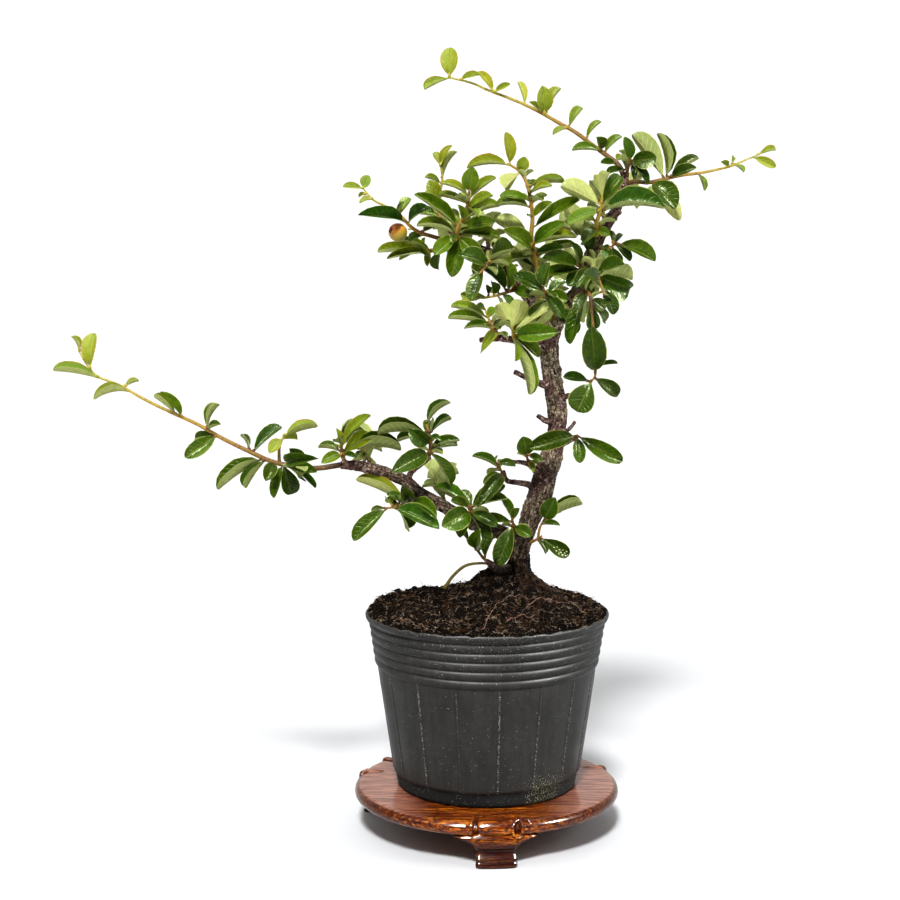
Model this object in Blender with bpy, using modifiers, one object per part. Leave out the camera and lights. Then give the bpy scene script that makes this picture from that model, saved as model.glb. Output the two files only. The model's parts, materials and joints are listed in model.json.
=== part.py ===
"""Cotoneaster bonsai in a soft nursery pot, on a round carved stand with three feet.

All the numbers below are millimetres, measured from the pot's axis, with +Z up and the bonsai's front
towards -Y. A bonsai is arranged to be seen from its front, so the shoots are set out on the front plane
through the pot's axis: a place is (x, z, depth), and depth slides it along the line of sight of somebody
who looks at the front, so that it stays where it is in that view.
"""

import math
import random

import bmesh
import bpy
from mathutils import Matrix, Quaternion, Vector
from mathutils.bvhtree import BVHTree

MM = 0.001
GAP = 0.3
POT_AXIS = Vector((35.6, -2.0, 0.0))
EYE = Vector((-18.3, -1250.0, 423.8))

# The stand
STAND_RADIUS = 66.0
STAND_TOP = 23.2
STAND_UNDERSIDE = 15.4
LEG_COUNT = 3
LEG_TURN = 3.5
LEG_HALF_WIDTH = 10.8
LEG_INLET_RADIUS = 57.5

# The pot
POT_BASE = STAND_TOP + GAP
POT_RIM = 113.0
RIM_RADIUS = 60.0
WALL = 0.9
FOOT_RADIUS = 46.5
FOOT_LEVEL = 31.0
WALL_SLOPE = 0.1436
RIB_COUNT = 5
RIB_TOP = 108.7
RIB_PITCH = 4.68
RIB_DEPTH = 1.2
RIM_LEAN = 4.6
LEAN_FROM = 80.0
DRAIN_RADIUS = 5.0

# The soil
SOIL_LEVEL = 111.6
SOIL_FALL = 1.6
MOUND_X = 9.0
MOUND_HEIGHT = 21.0
MOUND_SPREAD = 22.0
SOIL_SEGMENTS = 18

BERRY_CENTRE = (-43.5, 299.0, -17.0)
BERRY_RADIUS = 4.5

# Wood with bark, each a route of (x, z, depth, radius)
TRUNK = [
    (13.5, 103, 0, 8.2), (14, 116, 0, 8.2), (15, 126, 0, 7.4), (16, 134, 0, 5.4), (16.5, 141, 0, 4.3),
    (19, 150, -1, 4.4), (22, 160, -2, 5.2), (26, 170, -2, 6.0), (28.5, 180, -1, 5.8),
    (31.6, 190, 0, 5.3),
    (34, 202, 1, 4.5), (34, 214, 1, 4.8), (32, 225, 0, 4.7), (30.5, 236, 0, 4.6), (30.5, 247, 0, 4.2),
    (34, 257, 0, 3.9), (41, 266, -2, 3.6), (46, 276, -4, 3.4), (48.5, 285, -5, 3.3), (53, 295, -6, 3.0),
    (60, 307, -6, 2.5), (65, 318, -5, 2.3), (66, 328, -4, 1.9),
]
BRANCHES = {
    "low": [
        (19, 146, 0, 3.6), (6, 151, -3, 3.6), (-8, 156, -6, 3.3), (-22, 164, -8, 3.1),
        (-32, 170, -9, 3.0),
        (-41, 177, -10, 2.9), (-52, 181.5, -12, 2.8), (-62, 184, -13, 2.6), (-72, 185, -14, 2.0),
    ],
    "left_crown": [
        (31, 250, 0, 3.2), (24, 262, -3, 3.0), (16, 272, -6, 2.8), (9, 281, -8, 2.6), (2, 288, -9, 2.5),
        (-8, 291.5, -9, 2.5), (-18, 293.5, -9, 2.4),
    ],
    "pale_leaf_branch": [
        (31, 246, 0, 2.2), (22, 246, -12, 2.0), (14, 246.5, -21, 1.9), (6, 247.5, -26, 1.7),
        (-4, 246.5, -28, 1.3),
    ],
    "left_twig": [(24, 172, 0, 1.9), (20, 175, -6, 1.6), (14, 176, -9, 1.3), (9.5, 177, -11, 1.2),
        (8, 182, -12, 0.9)],
    "left_fork": [(28, 176, 0, 2.0), (24, 182, -7, 1.7), (19, 185.5, -9, 1.3), (11, 186.5, -12, 0.9)],
    "upright_twig": [(-39, 174, -9, 1.6), (-37.5, 181, -11, 1.5), (-32, 185.5, -13, 1.4),
        (-28, 189, -14, 1.2)],
    "long_stub": [(31, 223, 0, 1.9), (24, 226, -5, 1.6), (19, 228, -6, 1.4), (13, 231, -7, 1.2)],
    "left_stub": [(33, 205, 0, 1.6), (28, 207, -5, 1.4), (24.5, 209.5, -6, 1.1)],
    "right_stub": [(36, 200, 0, 1.2), (40.5, 203, -3, 1.0), (43, 206.5, -3, 1.0)],
    "right_knob": [(35, 217, 0, 1.7), (40, 219.5, -3, 1.3)],
    "right_spur": [(34, 194, 0, 1.6), (40, 196.5, -5, 1.2), (43.5, 198, -7, 0.9)],
    "fruit_spur": [(57, 302, -6, 1.6), (60, 306, -12, 1.4), (64, 309, -15, 1.1)],
}

# Leafy shoots. Each stem is (route of (x, z, depth), root radius, tip radius, leaves), and a leaf is
# (station along the stem, x and z of its tip, its step in depth, its width, its turn about its length).
# A turn of 0 shows the upper side from the front, 90 faces it up, and 180 shows the underside.
SHOOTS = {
    "shoot_low_tip": [
        ([(-70, 185, -14), (-84, 183, -16), (-95, 184, -18), (-106, 186.5, -19), (-118, 192, -19),
          (-130, 198, -18),
          (-142, 205, -17), (-155, 211, -16), (-168, 217.5, -15), (-180, 224.5, -14),
          (-190, 228.5, -13),
          (-195, 234, -12), (-199, 241, -11)], 1.4, 0.5, [
            (0.93, -191, 250, 3, 8, 15), (1.0, -202.5, 248.5, -3, 2.6, 60),
            (0.89, -212, 232, -4, 4.4, 55),
            (0.78, -192.5, 217.5, -6, 3.2, 60), (0.80, -170, 226.5, 5, 2.4, 60),
            (0.58, -160, 221, -3, 4.6, 25),
            (0.60, -163, 219, 4, 2.4, 60), (0.49, -131, 215, 5, 3.0, 60),
            (0.49, -130.5, 205, -5, 3.0, 60),
            (0.45, -148.5, 188.5, -7, 8, 10), (0.44, -143, 196.5, 4, 4.0, 50),
            (0.33, -121, 199.5, 5, 2.8, 60),
            (0.32, -100.5, 203.5, 8, 7.0, 40), (0.28, -133, 172.5, -8, 4.4, 60),
            (0.27, -119, 173, -3, 4.0, 50),
            (0.24, -109, 176.5, -10, 6.8, 0), (0.21, -105, 168, -4, 5.2, 20),
            (0.21, -96, 170, -1, 9, 10),
            (0.22, -92, 178, -14, 8.5, 165), (0.20, -83.5, 181, -8, 5.4, 30),
            (0.18, -84.5, 173, 2, 3.4, 30),
            (0.16, -97, 193, -9, 8.5, 35), (0.20, -83, 188, -11, 6.5, 30), (0.14, -96, 190, 7, 7, 60),
        ]),
        ([(-102, 185.5, -18.5), (-102, 193, -17), (-100, 199, -16)], 0.9, 0.6, [
            (1.0, -83, 204.2, 4, 4.2, 60), (0.9, -107, 190.5, -5, 6, 20), (0.9, -93, 197.5, 8, 5, 50),
        ]),
    ],
    "shoot_low_mid": [
        ([(-69, 185, -13.5), (-71.5, 190, -15), (-71, 196, -15)], 1.2, 0.7, [
            (0.8, -74, 203, -4, 3.8, 30), (1.0, -57, 209.5, 1, 5.4, 25),
            (0.9, -60.5, 201.5, 7, 3.6, 60),
            (1.0, -64, 207, 9, 2.6, 60), (0.6, -42, 192.5, 6, 3.8, 65),
            (0.3, -81.5, 172.5, -11, 10.5, 5),
            (0.5, -81.5, 185.5, -9, 5.6, 20), (0.6, -83, 193.5, 4, 3.6, 60),
            (0.45, -64, 188, -5, 3, 50),
            (0.5, -57, 199.5, 2, 8, 20),
        ]),
    ],
    "shoot_low_upright": [
        ([(-29, 187.5, -13.6), (-28, 193, -15), (-28.5, 200, -16), (-30, 205, -16)], 1.0, 0.6, [
            (1.0, -18, 216, 4, 3.8, 55), (0.72, -17.5, 207.7, 6, 3.4, 55),
            (0.75, -54, 200.5, -3, 4.2, 60),
            (0.45, -38.5, 202.5, -9, 8.5, 5), (0.22, -47, 181, -10, 9.5, 20),
            (0.35, -13.5, 197, -3, 4.4, 50),
            (0.3, -14.5, 194.5, 6, 3.8, 60), (0.66, -22.5, 196, -5, 3, 50),
            (0.25, -18.5, 174.5, 5, 6.5, 40),
            (0.7, -44, 196.5, 8, 3.6, 50), (0.5, -26, 206, 12, 5, 40),
        ]),
    ],
    "shoot_low_under": [
        ([(-34, 170, -9), (-40, 165.5, -14), (-46, 163.5, -17), (-50, 163, -18)], 0.9, 0.6, [
            (0.95, -66, 146.5, -6, 8, 20), (0.8, -23.5, 152.5, -10, 9.5, 25),
            (1.0, -57, 161.2, 4, 2.0, 60),
            (0.6, -50, 166, 6, 2.6, 60), (0.4, -64.5, 177.5, 5, 3.8, 50), (0.5, -49.5, 170, -2, 5, 40),
            (0.3, -25, 157.5, -13, 7, 40), (0.35, -42, 174.5, -9, 6.5, 20), (0.7, -40, 152.5, 8, 6, 40),
        ]),
    ],
    "shoot_low_bud": [
        ([(-8, 156.5, -6), (-8.5, 161, -12), (-8, 163.5, -14)], 1.1, 0.7, [
            (0.8, -22.5, 154, -12, 11.5, 0), (0.8, -13.5, 148, -7, 7.5, 25),
            (0.9, 9, 174.5, -1, 7.5, 25),
            (1.0, 10, 168, -9, 5.5, 40), (0.9, -13, 172, 6, 5.5, 40), (0.9, -26.5, 172.8, 9, 6, 50),
            (0.7, 5, 153.5, -7, 6.5, 30), (0.6, -1, 142.5, -5, 6.5, 40), (0.9, -18, 167, -1, 5, 30),
        ]),
    ],
    "shoot_low_node": [
        ([(14, 149, -1.5), (13, 154, -9), (12.5, 157, -12)], 1.0, 0.7, [
            (0.8, 5.5, 134, -5, 9.5, 15), (0.7, 22, 148.5, -7, 6, 20), (1.0, 6.5, 168.5, 4, 5, 30),
            (0.9, -2, 158, -4, 5, 30), (1.0, 16, 163, -3, 4, 30),
        ]),
    ],
    "shoot_left_twig": [
        ([(9.3, 178, -11.2), (7, 181.5, -15), (4, 186, -17)], 0.8, 0.5, [
            (0.3, 12, 155.5, -3, 10, 5), (0.3, -5, 163.5, -7, 7.5, 20), (0.3, -2, 175.3, 4, 2.6, 60),
            (0.7, -7.5, 189.3, -2, 4, 50), (1.0, 3, 188, 5, 4, 40), (0.9, 14, 184, -2, 4.5, 40),
        ]),
    ],
    "shoot_left_fork": [
        ([(20.5, 185, -8.6), (19.5, 188.5, -12), (20, 190, -14)], 0.8, 0.6, [
            (0.8, 17.5, 199, -5, 9, 10), (0.9, 27, 186, -6, 4, 40),
        ]),
    ],
    "shoot_trunk_right": [
        ([(42.5, 197.5, -6.5), (44, 199, -10), (44, 199.5, -12)], 0.8, 0.6, [
            (0.9, 20, 193, -6, 9, 20), (0.8, 66.5, 186.5, -4, 8.5, 10), (0.6, 45.5, 185.5, -6, 6.6, 5),
        ]),
    ],
    "shoot_base_right": [
        ([(19, 144.5, 0), (25, 147.5, -7), (27, 149, -9)], 0.9, 0.6, [
            (0.9, 40.5, 139, -3, 7.5, 15), (0.7, 29, 140, -5, 2.8, 50), (0.8, 27.5, 143.5, 3, 2.4, 50),
        ]),
        ([(25, 146.9, -7), (26, 153, -9), (28, 157, -9)], 0.8, 0.6, [
            (1.0, 33.5, 168.5, -4, 9, 15), (0.9, 47, 165.5, 4, 2.6, 60), (0.8, 36, 154.3, -4, 3.2, 50),
            (0.9, 37, 161.5, 5, 4, 40),
        ]),
    ],
    "sucker": [
        ([(12.5, 133.5, -2), (5, 134, -11), (-1, 137, -13), (-5, 142, -13),
          (-10, 147, -13)], 1.1, 0.6, [
            (0.95, -13.5, 151.5, 3, 3.4, 50), (0.8, -3.5, 152.5, -5, 7, 20),
            (0.6, 4, 149.5, -4, 5.5, 40),
            (0.75, 0, 147, 4, 5, 30),
        ]),
        ([(3, 134.8, -11.7), (-4, 135.2, -12), (-11, 133.8, -12), (-17, 128.5, -12),
          (-21, 122.5, -12)], 0.6, 0.6, []),
    ],
    "shoot_hanging": [
        ([(41, 266, -2), (43.5, 270, -11), (46.5, 271, -19), (49.5, 268.5, -25), (50.5, 261, -28),
          (51.5, 250, -29), (52.5, 238, -29),
          (52.5, 229, -28), (50, 226, -28)], 1.0, 0.7, [
            (0.84, 50.3, 253.5, -4, 12, 0), (0.98, 44, 211, -3, 13, 5), (1.0, 36.8, 228.5, -2, 5, 25),
            (0.96, 64, 219.5, 3, 7, 15), (0.88, 63.5, 235, 1, 2.6, 40), (0.42, 51, 252, -5, 7, 10),
            (0.40, 57, 261.5, 0, 6, 25), (0.45, 56.5, 255, 4, 5, 40), (0.30, 40, 244.5, -5, 7, 25),
            (0.34, 46.8, 255, 4, 3.2, 50), (0.36, 43, 258, -9, 6, 30),
        ]),
    ],
    "shoot_pale": [
        ([(13, 246.5, -21.5), (12.5, 249, -28), (12, 252, -31)], 1.1, 0.8, [
            (0.9, 5.5, 264.5, -2, 8.5, 175), (1.0, 16.5, 266, -1, 9, 175),
            (0.8, 31.5, 262.3, -4, 10.5, 172),
            (0.6, 34.5, 250.5, -9, 9, 10), (0.5, 25, 238, -4, 6.5, 25), (0.5, 21, 219.5, -4, 3.2, 55),
            (0.6, 13.5, 236, -3, 4.2, 40),
        ]),
    ],
    "shoot_pale_end": [
        ([(5, 247.5, -26.5), (3, 252, -31), (0.5, 257, -32), (-1, 261, -31)], 0.9, 0.6, [
            (0.2, -3.5, 240, -4, 5, 15), (0.15, -6, 248.8, -6, 2.6, 50),
            (0.4, -11.5, 252.3, -3, 3.6, 40),
            (0.6, -19.5, 257.5, -3, 4, 50), (0.8, -18, 263.2, -1, 4.6, 45), (1.0, -6, 263, 4, 4, 45),
            (0.8, 4, 262, 4, 5, 40),
        ]),
    ],
    "shoot_mid_left": [
        ([(16, 272, -6), (9.5, 270, -15), (3, 268, -19), (-2, 267, -20)], 1.0, 0.5, [
            (1.0, -13.3, 269, -2, 4.8, 10), (0.9, -12.5, 265.3, 3, 4.2, 40),
            (0.45, -9.8, 286.5, -4, 7.5, 30),
            (0.45, 8.5, 285.5, -4, 6, 30), (0.6, 12, 262.5, -4, 4.5, 40), (0.8, 2, 275, 7, 6, 40),
            (0.3, 22, 268, -6, 7, 30),
        ]),
    ],
    "shoot_mid_front": [
        ([(33, 256, 0), (31, 263, -18), (28, 269, -32), (27, 272, -38)], 1.1, 0.6, [
            (0.9, 12, 278, -3, 7.5, 30), (1.0, 30, 284.5, -2, 7, 40), (0.8, 39, 266, -5, 8, 15),
            (0.7, 22, 256.5, -5, 7, 25), (0.85, 36, 257, -2, 7, 20), (0.6, 18, 272, 5, 6, 40),
            (0.7, 38, 275, 5, 6, 40), (0.5, 44, 250, -3, 7.5, 25),
        ]),
    ],
    "shoot_left_fan": [
        ([(-13, 292.5, -9), (-15, 299, -19), (-12, 306, -24), (-9.5, 313, -26),
          (-9, 318, -27)], 1.3, 0.8, [
            (1.0, -7.2, 330.5, -3, 8.5, 10), (0.92, 4, 325.5, 1, 4.2, 40),
            (0.97, -22.5, 322.7, -2, 3.8, 45),
            (0.85, -24, 317, 4, 3, 50), (0.75, 2.5, 316.8, -3, 5.2, 30),
            (0.62, -14.5, 312.5, -5, 4.5, 20),
            (0.45, -35.5, 317.6, -5, 5.4, 40), (0.35, -34.5, 302.5, -4, 5, 55),
            (0.55, 6, 312, 3, 5.5, 40),
            (0.4, 3.5, 304, -4, 6, 30), (0.3, 6, 296, -6, 6, 40), (0.3, -3, 285.5, -8, 8.5, 10),
            (0.28, -26, 288, -6, 7.5, 20), (0.22, -17.5, 277.2, -5, 8.8, 5), (0.5, -20, 309, 7, 5, 40),
            (0.25, -10, 286.5, 6, 6, 30),
        ]),
    ],
    "shoot_left_upright": [
        ([(-13, 292.6, -9), (-19.5, 301, -4), (-24, 309, -1), (-23.5, 317, 1), (-22, 324, 1),
          (-22.7, 331, 1)], 1.0, 0.6, [
            (1.0, -17.3, 341, -3, 4, 25), (1.0, -26, 337.5, 3, 4, 25), (0.86, -15, 338, 4, 2.2, 50),
            (0.8, -30.5, 325.7, -3, 2.6, 50), (0.55, -28.5, 324.2, 3, 7.5, 10),
            (0.4, -33, 308, 5, 5.5, 40),
            (0.45, -14, 305, 8, 5.5, 40), (0.6, -31, 316, 6, 5, 40),
        ]),
    ],
    "shoot_left_tip": [
        ([(-15, 293, -9), (-25, 296.5, -12), (-33, 299, -14), (-38, 302.5, -15), (-42, 307, -15),
          (-48, 311, -15),
          (-55, 314.5, -15), (-60, 320, -15)], 1.1, 0.5, [
            (1.0, -70, 321, -2, 3.6, 35), (1.0, -57.3, 326.5, 0, 5.5, 10),
            (0.94, -62.3, 316, 3, 2.6, 45),
            (0.88, -62, 313, -3, 3, 45), (0.52, -62.7, 307.5, -5, 6.5, 25),
            (0.5, -27.8, 310.6, -5, 6.2, 40),
            (0.6, -37.5, 315.5, 4, 5.5, 30), (0.35, -20, 304.5, -5, 5.5, 40),
            (0.3, -38, 294.5, 4, 5, 45),
            (0.6, -40.5, 314, -3, 1.6, 50),
        ]),
        ([(-36, 301, -14.6), (-38.5, 300.4, -17)], 0.6, 0.5, []),
    ],
    "shoot_left_low": [
        ([(-17, 293.3, -9), (-23, 290.5, -2), (-30, 289.5, 3), (-35, 289.5, 4)], 0.9, 0.5, [
            (0.8, -53.5, 289.7, -2, 4.4, 40), (0.7, -49, 286.3, 4, 3.4, 30),
            (1.0, -43, 285.4, -4, 3.4, 25),
            (0.9, -27.5, 286.8, -5, 3.2, 30), (0.6, -45.5, 293.3, 4, 3, 55), (0.4, -24, 281, 6, 6, 30),
        ]),
    ],
    "shoot_middle": [
        ([(28, 256, -1.5), (25.5, 270, -5), (23.5, 284, -12), (21, 296, -18), (21.5, 306, -21),
          (20.5, 315, -22),
          (18.5, 323, -22), (15, 328.5, -22), (10.5, 331.5, -22)], 1.4, 0.7, [
            (1.0, 8.3, 347.3, 0, 5.8, 15), (1.0, -10.3, 330, -2, 4.4, 45),
            (0.93, 17.7, 335.5, -2, 6.2, 5),
            (0.93, 8, 320.3, -5, 8.5, 165), (0.76, 5.5, 316.5, -4, 4.6, 35),
            (0.72, 3.3, 311.8, 3, 5, 45),
            (0.80, 31, 321.5, -3, 3.6, 45), (0.84, 37, 323.2, 3, 3.4, 55),
            (0.74, 28.5, 317, 4, 2.8, 55),
            (0.66, 31, 313.7, -3, 4.4, 35), (0.60, 44.3, 314.7, 4, 6.2, 30),
            (0.50, 37, 304, -5, 6.4, 25),
            (0.46, 7.2, 300.3, -6, 8, 20), (0.52, 3, 304.7, 4, 8.5, 160), (0.50, 43, 296.8, -3, 4, 35),
            (0.44, 36.5, 291.8, -4, 4.2, 35), (0.42, 42.5, 292.8, 4, 2.6, 50),
            (0.42, 6, 282, -2, 5, 40),
            (0.34, 9.5, 286.5, 5, 4, 40), (0.30, 35, 278, 6, 6, 40), (0.26, 12, 276, 8, 6, 40),
        ]),
    ],
    "shoot_right_dark": [
        ([(47.5, 281, -4.5), (46, 281, -12), (44.5, 283, -16)], 1.0, 0.7, [
            (0.9, 26.3, 286.5, -3, 7.8, 35), (0.5, 69, 271.5, -8, 12.5, 15),
            (0.7, 24.5, 278, -6, 5.6, 30),
            (0.6, 38.5, 273, -5, 7, 20), (1.0, 40, 294, -3, 4, 40), (0.6, 48, 268, -3, 6, 20),
        ]),
    ],
    "shoot_right_mid": [
        ([(52, 291, -5.5), (58, 291.5, -10), (62, 293.5, -11)], 0.8, 0.5, [
            (1.0, 81.2, 285, -2, 8.2, 30), (0.7, 58, 284.5, -5, 5.6, 20),
            (0.8, 62.5, 284.5, 3, 5.4, 15),
            (0.95, 69, 285, -3, 4.8, 20), (0.9, 65, 298, 5, 3, 40),
        ]),
    ],
    "shoot_right_fan": [
        ([(53, 296, -6), (52.5, 303, -15), (54.3, 310, -20), (55, 316, -22)], 1.3, 0.8, [
            (1.0, 52.5, 327, -2, 6.6, 165), (1.0, 58.3, 327.8, -4, 5.4, 160),
            (0.85, 35.3, 321.8, -5, 9.5, 168),
            (0.85, 64, 326, 5, 7.2, 20), (0.75, 38.2, 302.8, -5, 6.6, 40),
            (0.35, 46, 293.5, -5, 6.2, 25),
            (0.25, 49, 290, 4, 6, 30), (0.75, 85.3, 311, -7, 9.5, 40), (0.3, 59, 297.5, -3, 4.5, 20),
            (0.5, 43, 306, 5, 5, 40),
        ]),
    ],
    "shoot_right_spur": [
        ([(65.9, 325, -4.4), (67.5, 330.5, -9), (68.5, 333.5, -11)], 0.9, 0.7, [
            (1.0, 81, 335, -5, 9, 5), (1.0, 65.3, 345, -2, 5.6, 15), (0.9, 76.5, 321.8, 3, 4.4, 40),
            (0.5, 57, 327, 5, 4, 40),
        ]),
    ],
    "shoot_top": [
        ([(65.8, 324, -4), (63, 331, 0), (57, 336, 4), (50, 341, 7), (42, 347, 9), (34, 351.5, 10),
          (26, 356, 11),
          (18, 360, 12), (9, 363.7, 12), (0, 367, 12), (-8, 370.5, 12), (-18.5, 373, 12)], 1.3, 0.6, [
            (1.0, -18, 387.3, 2, 8.8, 10), (1.0, -30.7, 367.3, -2, 4.2, 35),
            (0.95, -4, 374.4, -3, 3.8, 40),
            (0.78, -5.3, 375.7, 2, 4.6, 25), (0.78, 10.6, 370, -3, 3.2, 20),
            (0.52, 25.8, 369.3, -3, 8.2, 10),
            (0.51, 34.8, 368, 3, 4.2, 35), (0.55, 19.5, 361.5, 1, 3, 45),
            (0.39, 45.3, 358.6, 3, 5.2, 40),
            (0.39, 31, 345.8, -4, 3.6, 45), (0.29, 54.3, 352.2, 3, 3.6, 40),
            (0.20, 52, 345, -4, 6.4, 25),
            (0.18, 64.3, 345, 4, 4.6, 35), (0.20, 40.2, 338.5, -5, 4.6, 40),
            (0.10, 54, 332.5, -4, 4, 30),
            (0.62, 14, 371, 6, 4, 40),
        ]),
    ],
    "shoot_right": [
        ([(65.7, 322.5, -4.6), (71, 323.5, -8), (77, 323, -10), (84, 324.5, -10), (93, 326.5, -8),
          (101, 327.5, -6),
          (109, 329, -4), (117, 331, -2), (124, 334, 0), (129, 336, 1)], 1.1, 0.5, [
            (1.0, 138.3, 338.6, 2, 3, 45), (0.97, 138.3, 330.3, -3, 4.6, 15),
            (0.82, 123, 327.8, -3, 2.8, 45),
            (0.78, 111.8, 333, 0, 3.2, 30), (0.80, 118.8, 334.3, 4, 2.4, 45),
            (0.55, 104.2, 319, -2, 2.6, 45),
            (0.34, 100.3, 330.2, -4, 5.6, 30), (0.34, 101.3, 335, 3, 5, 45),
            (0.32, 81.3, 346.8, 4, 2.8, 50),
            (0.30, 69.3, 346.3, -2, 9.5, 155), (0.20, 90.5, 310.5, -7, 11.5, 15),
            (0.24, 92.8, 304.7, 1, 8, 170),
            (0.08, 74, 332, 6, 5, 40),
        ]),
    ],
}

# Shoots that fill the sides that face away from the front: root and tip, (x, z, depth), and leaf count
FILLING_SHOOTS = {
    "shoot_inner_trunk": ((32, 252, 0), (45, 258, 20), 6),
    "shoot_inner_left": ((20, 267, -4.5), (19, 285, 12), 6),
    "shoot_inner_end": ((1, 288.7, -9), (-3, 301, 10), 5),
    "shoot_inner_right": ((50, 289, -5.3), (41, 301, 14), 6),
    "shoot_back_trunk": ((31, 240, 0), (22, 256, 42), 5),
    "shoot_back_middle": ((36, 259, -0.5), (31, 286, 56), 7),
    "shoot_back_left": ((12, 277, -7), (3, 286, 44), 6),
    "shoot_back_left_end": ((-10, 292, -9), (-22, 300, 30), 5),
    "shoot_back_right": ((45, 273, -3), (60, 279, 46), 7),
    "shoot_back_right_top": ((57, 302, -6), (52, 316, 38), 5),
    "shoot_back_spur": ((63, 313, -5.6), (74, 316, 32), 5),
    "shoot_back_low": ((-20, 163, -8), (-26, 176, 30), 5),
    "shoot_back_low_end": ((-57, 183, -12.6), (-62, 193, 22), 5),
    "shoot_front_left": ((6, 284.5, -8.5), (-4, 279, -44), 5),
    "shoot_front_right": ((48, 284, -5), (57, 268, -42), 5),
}
FILLING_SEED = 20
YOUNG_SHOOTS = ("shoot_low_tip", "shoot_top", "shoot_right", "shoot_left_tip", "shoot_left_upright")

LEAF_THICKNESS = 1.1
CLEARANCE = 0.75


def clear_scene():
    for item in list(bpy.data.objects):
        bpy.data.objects.remove(item, do_unlink=True)


def new_collection(name):
    collection = bpy.data.collections.new(name)
    bpy.context.scene.collection.children.link(collection)
    return collection


def new_material(name, colour, roughness):
    material = bpy.data.materials.new(name)
    material.use_nodes = True
    shader = material.node_tree.nodes["Principled BSDF"]
    shader.inputs["Base Color"].default_value = (*colour, 1.0)
    shader.inputs["Roughness"].default_value = roughness
    shader.inputs["Metallic"].default_value = 0.0
    return material


def on_front(x, z, depth=0.0):
    """The point seen at (x, z) on the front plane, moved back by depth along the line of sight."""
    return EYE + (Vector((x, 0.0, z)) - EYE) * (1.0 - depth / EYE.y)


# Objects


def mesh_object(name, points, faces, collection):
    """An object of points in millimetres, with its faces turned outwards."""
    mesh = bpy.data.meshes.new(name)
    mesh.from_pydata([tuple(Vector(point) * MM) for point in points], [], faces)
    work = bmesh.new()
    work.from_mesh(mesh)
    bmesh.ops.recalc_face_normals(work, faces=work.faces)
    work.to_mesh(mesh)
    work.free()
    made = bpy.data.objects.new(name, mesh)
    collection.objects.link(made)
    return made


def baked(source, name, collection):
    """The evaluated source as a plain mesh object. The source goes."""
    bpy.context.view_layer.update()
    graph = bpy.context.evaluated_depsgraph_get()
    mesh = bpy.data.meshes.new_from_object(source.evaluated_get(graph))
    work = bmesh.new()
    work.from_mesh(mesh)
    bmesh.ops.remove_doubles(work, verts=work.verts, dist=1e-6)
    bmesh.ops.recalc_face_normals(work, faces=work.faces)
    work.to_mesh(mesh)
    work.free()
    matrix = source.matrix_world.copy()
    bpy.data.objects.remove(source, do_unlink=True)
    made = bpy.data.objects.new(name, mesh)
    made.matrix_world = matrix
    collection.objects.link(made)
    return made


def turned(name, profile, segments, collection):
    """A ring or disc turned about +Z from a profile of (radius, z) that runs down its outer side."""
    mesh = bpy.data.meshes.new(name)
    count = len(profile)
    closed = profile[0][0] > 0.0
    edges = [(i, i + 1) for i in range(count - 1)] + ([(count - 1, 0)] if closed else [])
    mesh.from_pydata([(radius * MM, 0.0, z * MM) for radius, z in profile], edges, [])
    made = bpy.data.objects.new(name, mesh)
    collection.objects.link(made)
    screw = made.modifiers.new("Turn", "SCREW")
    screw.steps = segments
    screw.render_steps = segments
    screw.use_merge_vertices = True
    screw.merge_threshold = 1e-5
    screw.use_normal_calculate = True
    return baked(made, name, collection)


def boolean(target, operation, other, name, collection, solver="EXACT"):
    """The target joined with or cut by an object or a collection, baked. The other side stays."""
    modifier = target.modifiers.new("Boolean", "BOOLEAN")
    modifier.operation = operation
    modifier.solver = solver
    if isinstance(other, bpy.types.Collection):
        modifier.operand_type = "COLLECTION"
        modifier.collection = other
    else:
        modifier.object = other
    return baked(target, name, collection)


def drop_scraps(item):
    """Leaves only the largest of an object's loose pieces."""
    work = bmesh.new()
    work.from_mesh(item.data)
    waiting = set(work.faces)
    pieces = []
    while waiting:
        piece = {waiting.pop()}
        edge_on = list(piece)
        while edge_on:
            face = edge_on.pop()
            for edge in face.edges:
                found = waiting.intersection(edge.link_faces)
                waiting -= found
                piece |= found
                edge_on += found
        pieces.append(piece)
    largest = max(pieces, key=len)
    scraps = [face for piece in pieces if piece is not largest for face in piece]
    bmesh.ops.delete(work, geom=scraps, context="FACES")
    work.to_mesh(item.data)
    work.free()


def empty_collection(collection):
    for item in list(collection.objects):
        bpy.data.objects.remove(item, do_unlink=True)


# Stems


def smooth_route(route, steps):
    """Points of a Catmull-Rom curve through the route, with steps between each two of its points."""
    ends = [route[0] + (route[0] - route[1]), *route, route[-1] + (route[-1] - route[-2])]
    points = []
    for a, b, c, d in zip(ends, ends[1:], ends[2:], ends[3:]):
        for step in range(steps):
            t = step / steps
            points.append(0.5 * (2 * b + (c - a) * t + (2 * a - 5 * b + 4 * c - d) * t**2
                                 + (3 * b - a - 3 * c + d) * t**3))
    return [*points, route[-1]]


def tube(name, points, radii, resolution, collection, grow=0.0):
    """A tapered stem: a curve with a round bevel and filled caps, baked. Its ends grow with it."""
    points = [Vector(point) for point in points]
    first_way = (points[0] - points[1]).normalized()
    last_way = (points[-1] - points[-2]).normalized()
    points[0] += first_way * grow
    points[-1] += last_way * grow
    data = bpy.data.curves.new(name, "CURVE")
    data.dimensions = "3D"
    data.bevel_depth = MM
    data.bevel_resolution = resolution
    data.use_fill_caps = True
    spline = data.splines.new("POLY")
    spline.points.add(len(points) - 1)
    for place, point, radius in zip(spline.points, points, radii):
        place.co = (*(point * MM), 1.0)
        place.radius = radius + grow
    made = bpy.data.objects.new(name, data)
    collection.objects.link(made)
    return baked(made, name, collection)


def limb(name, route, resolution, collection, grow):
    points = [on_front(*place[:3]) for place in route]
    return tube(name, points, [place[3] for place in route], resolution, collection, grow)


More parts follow.
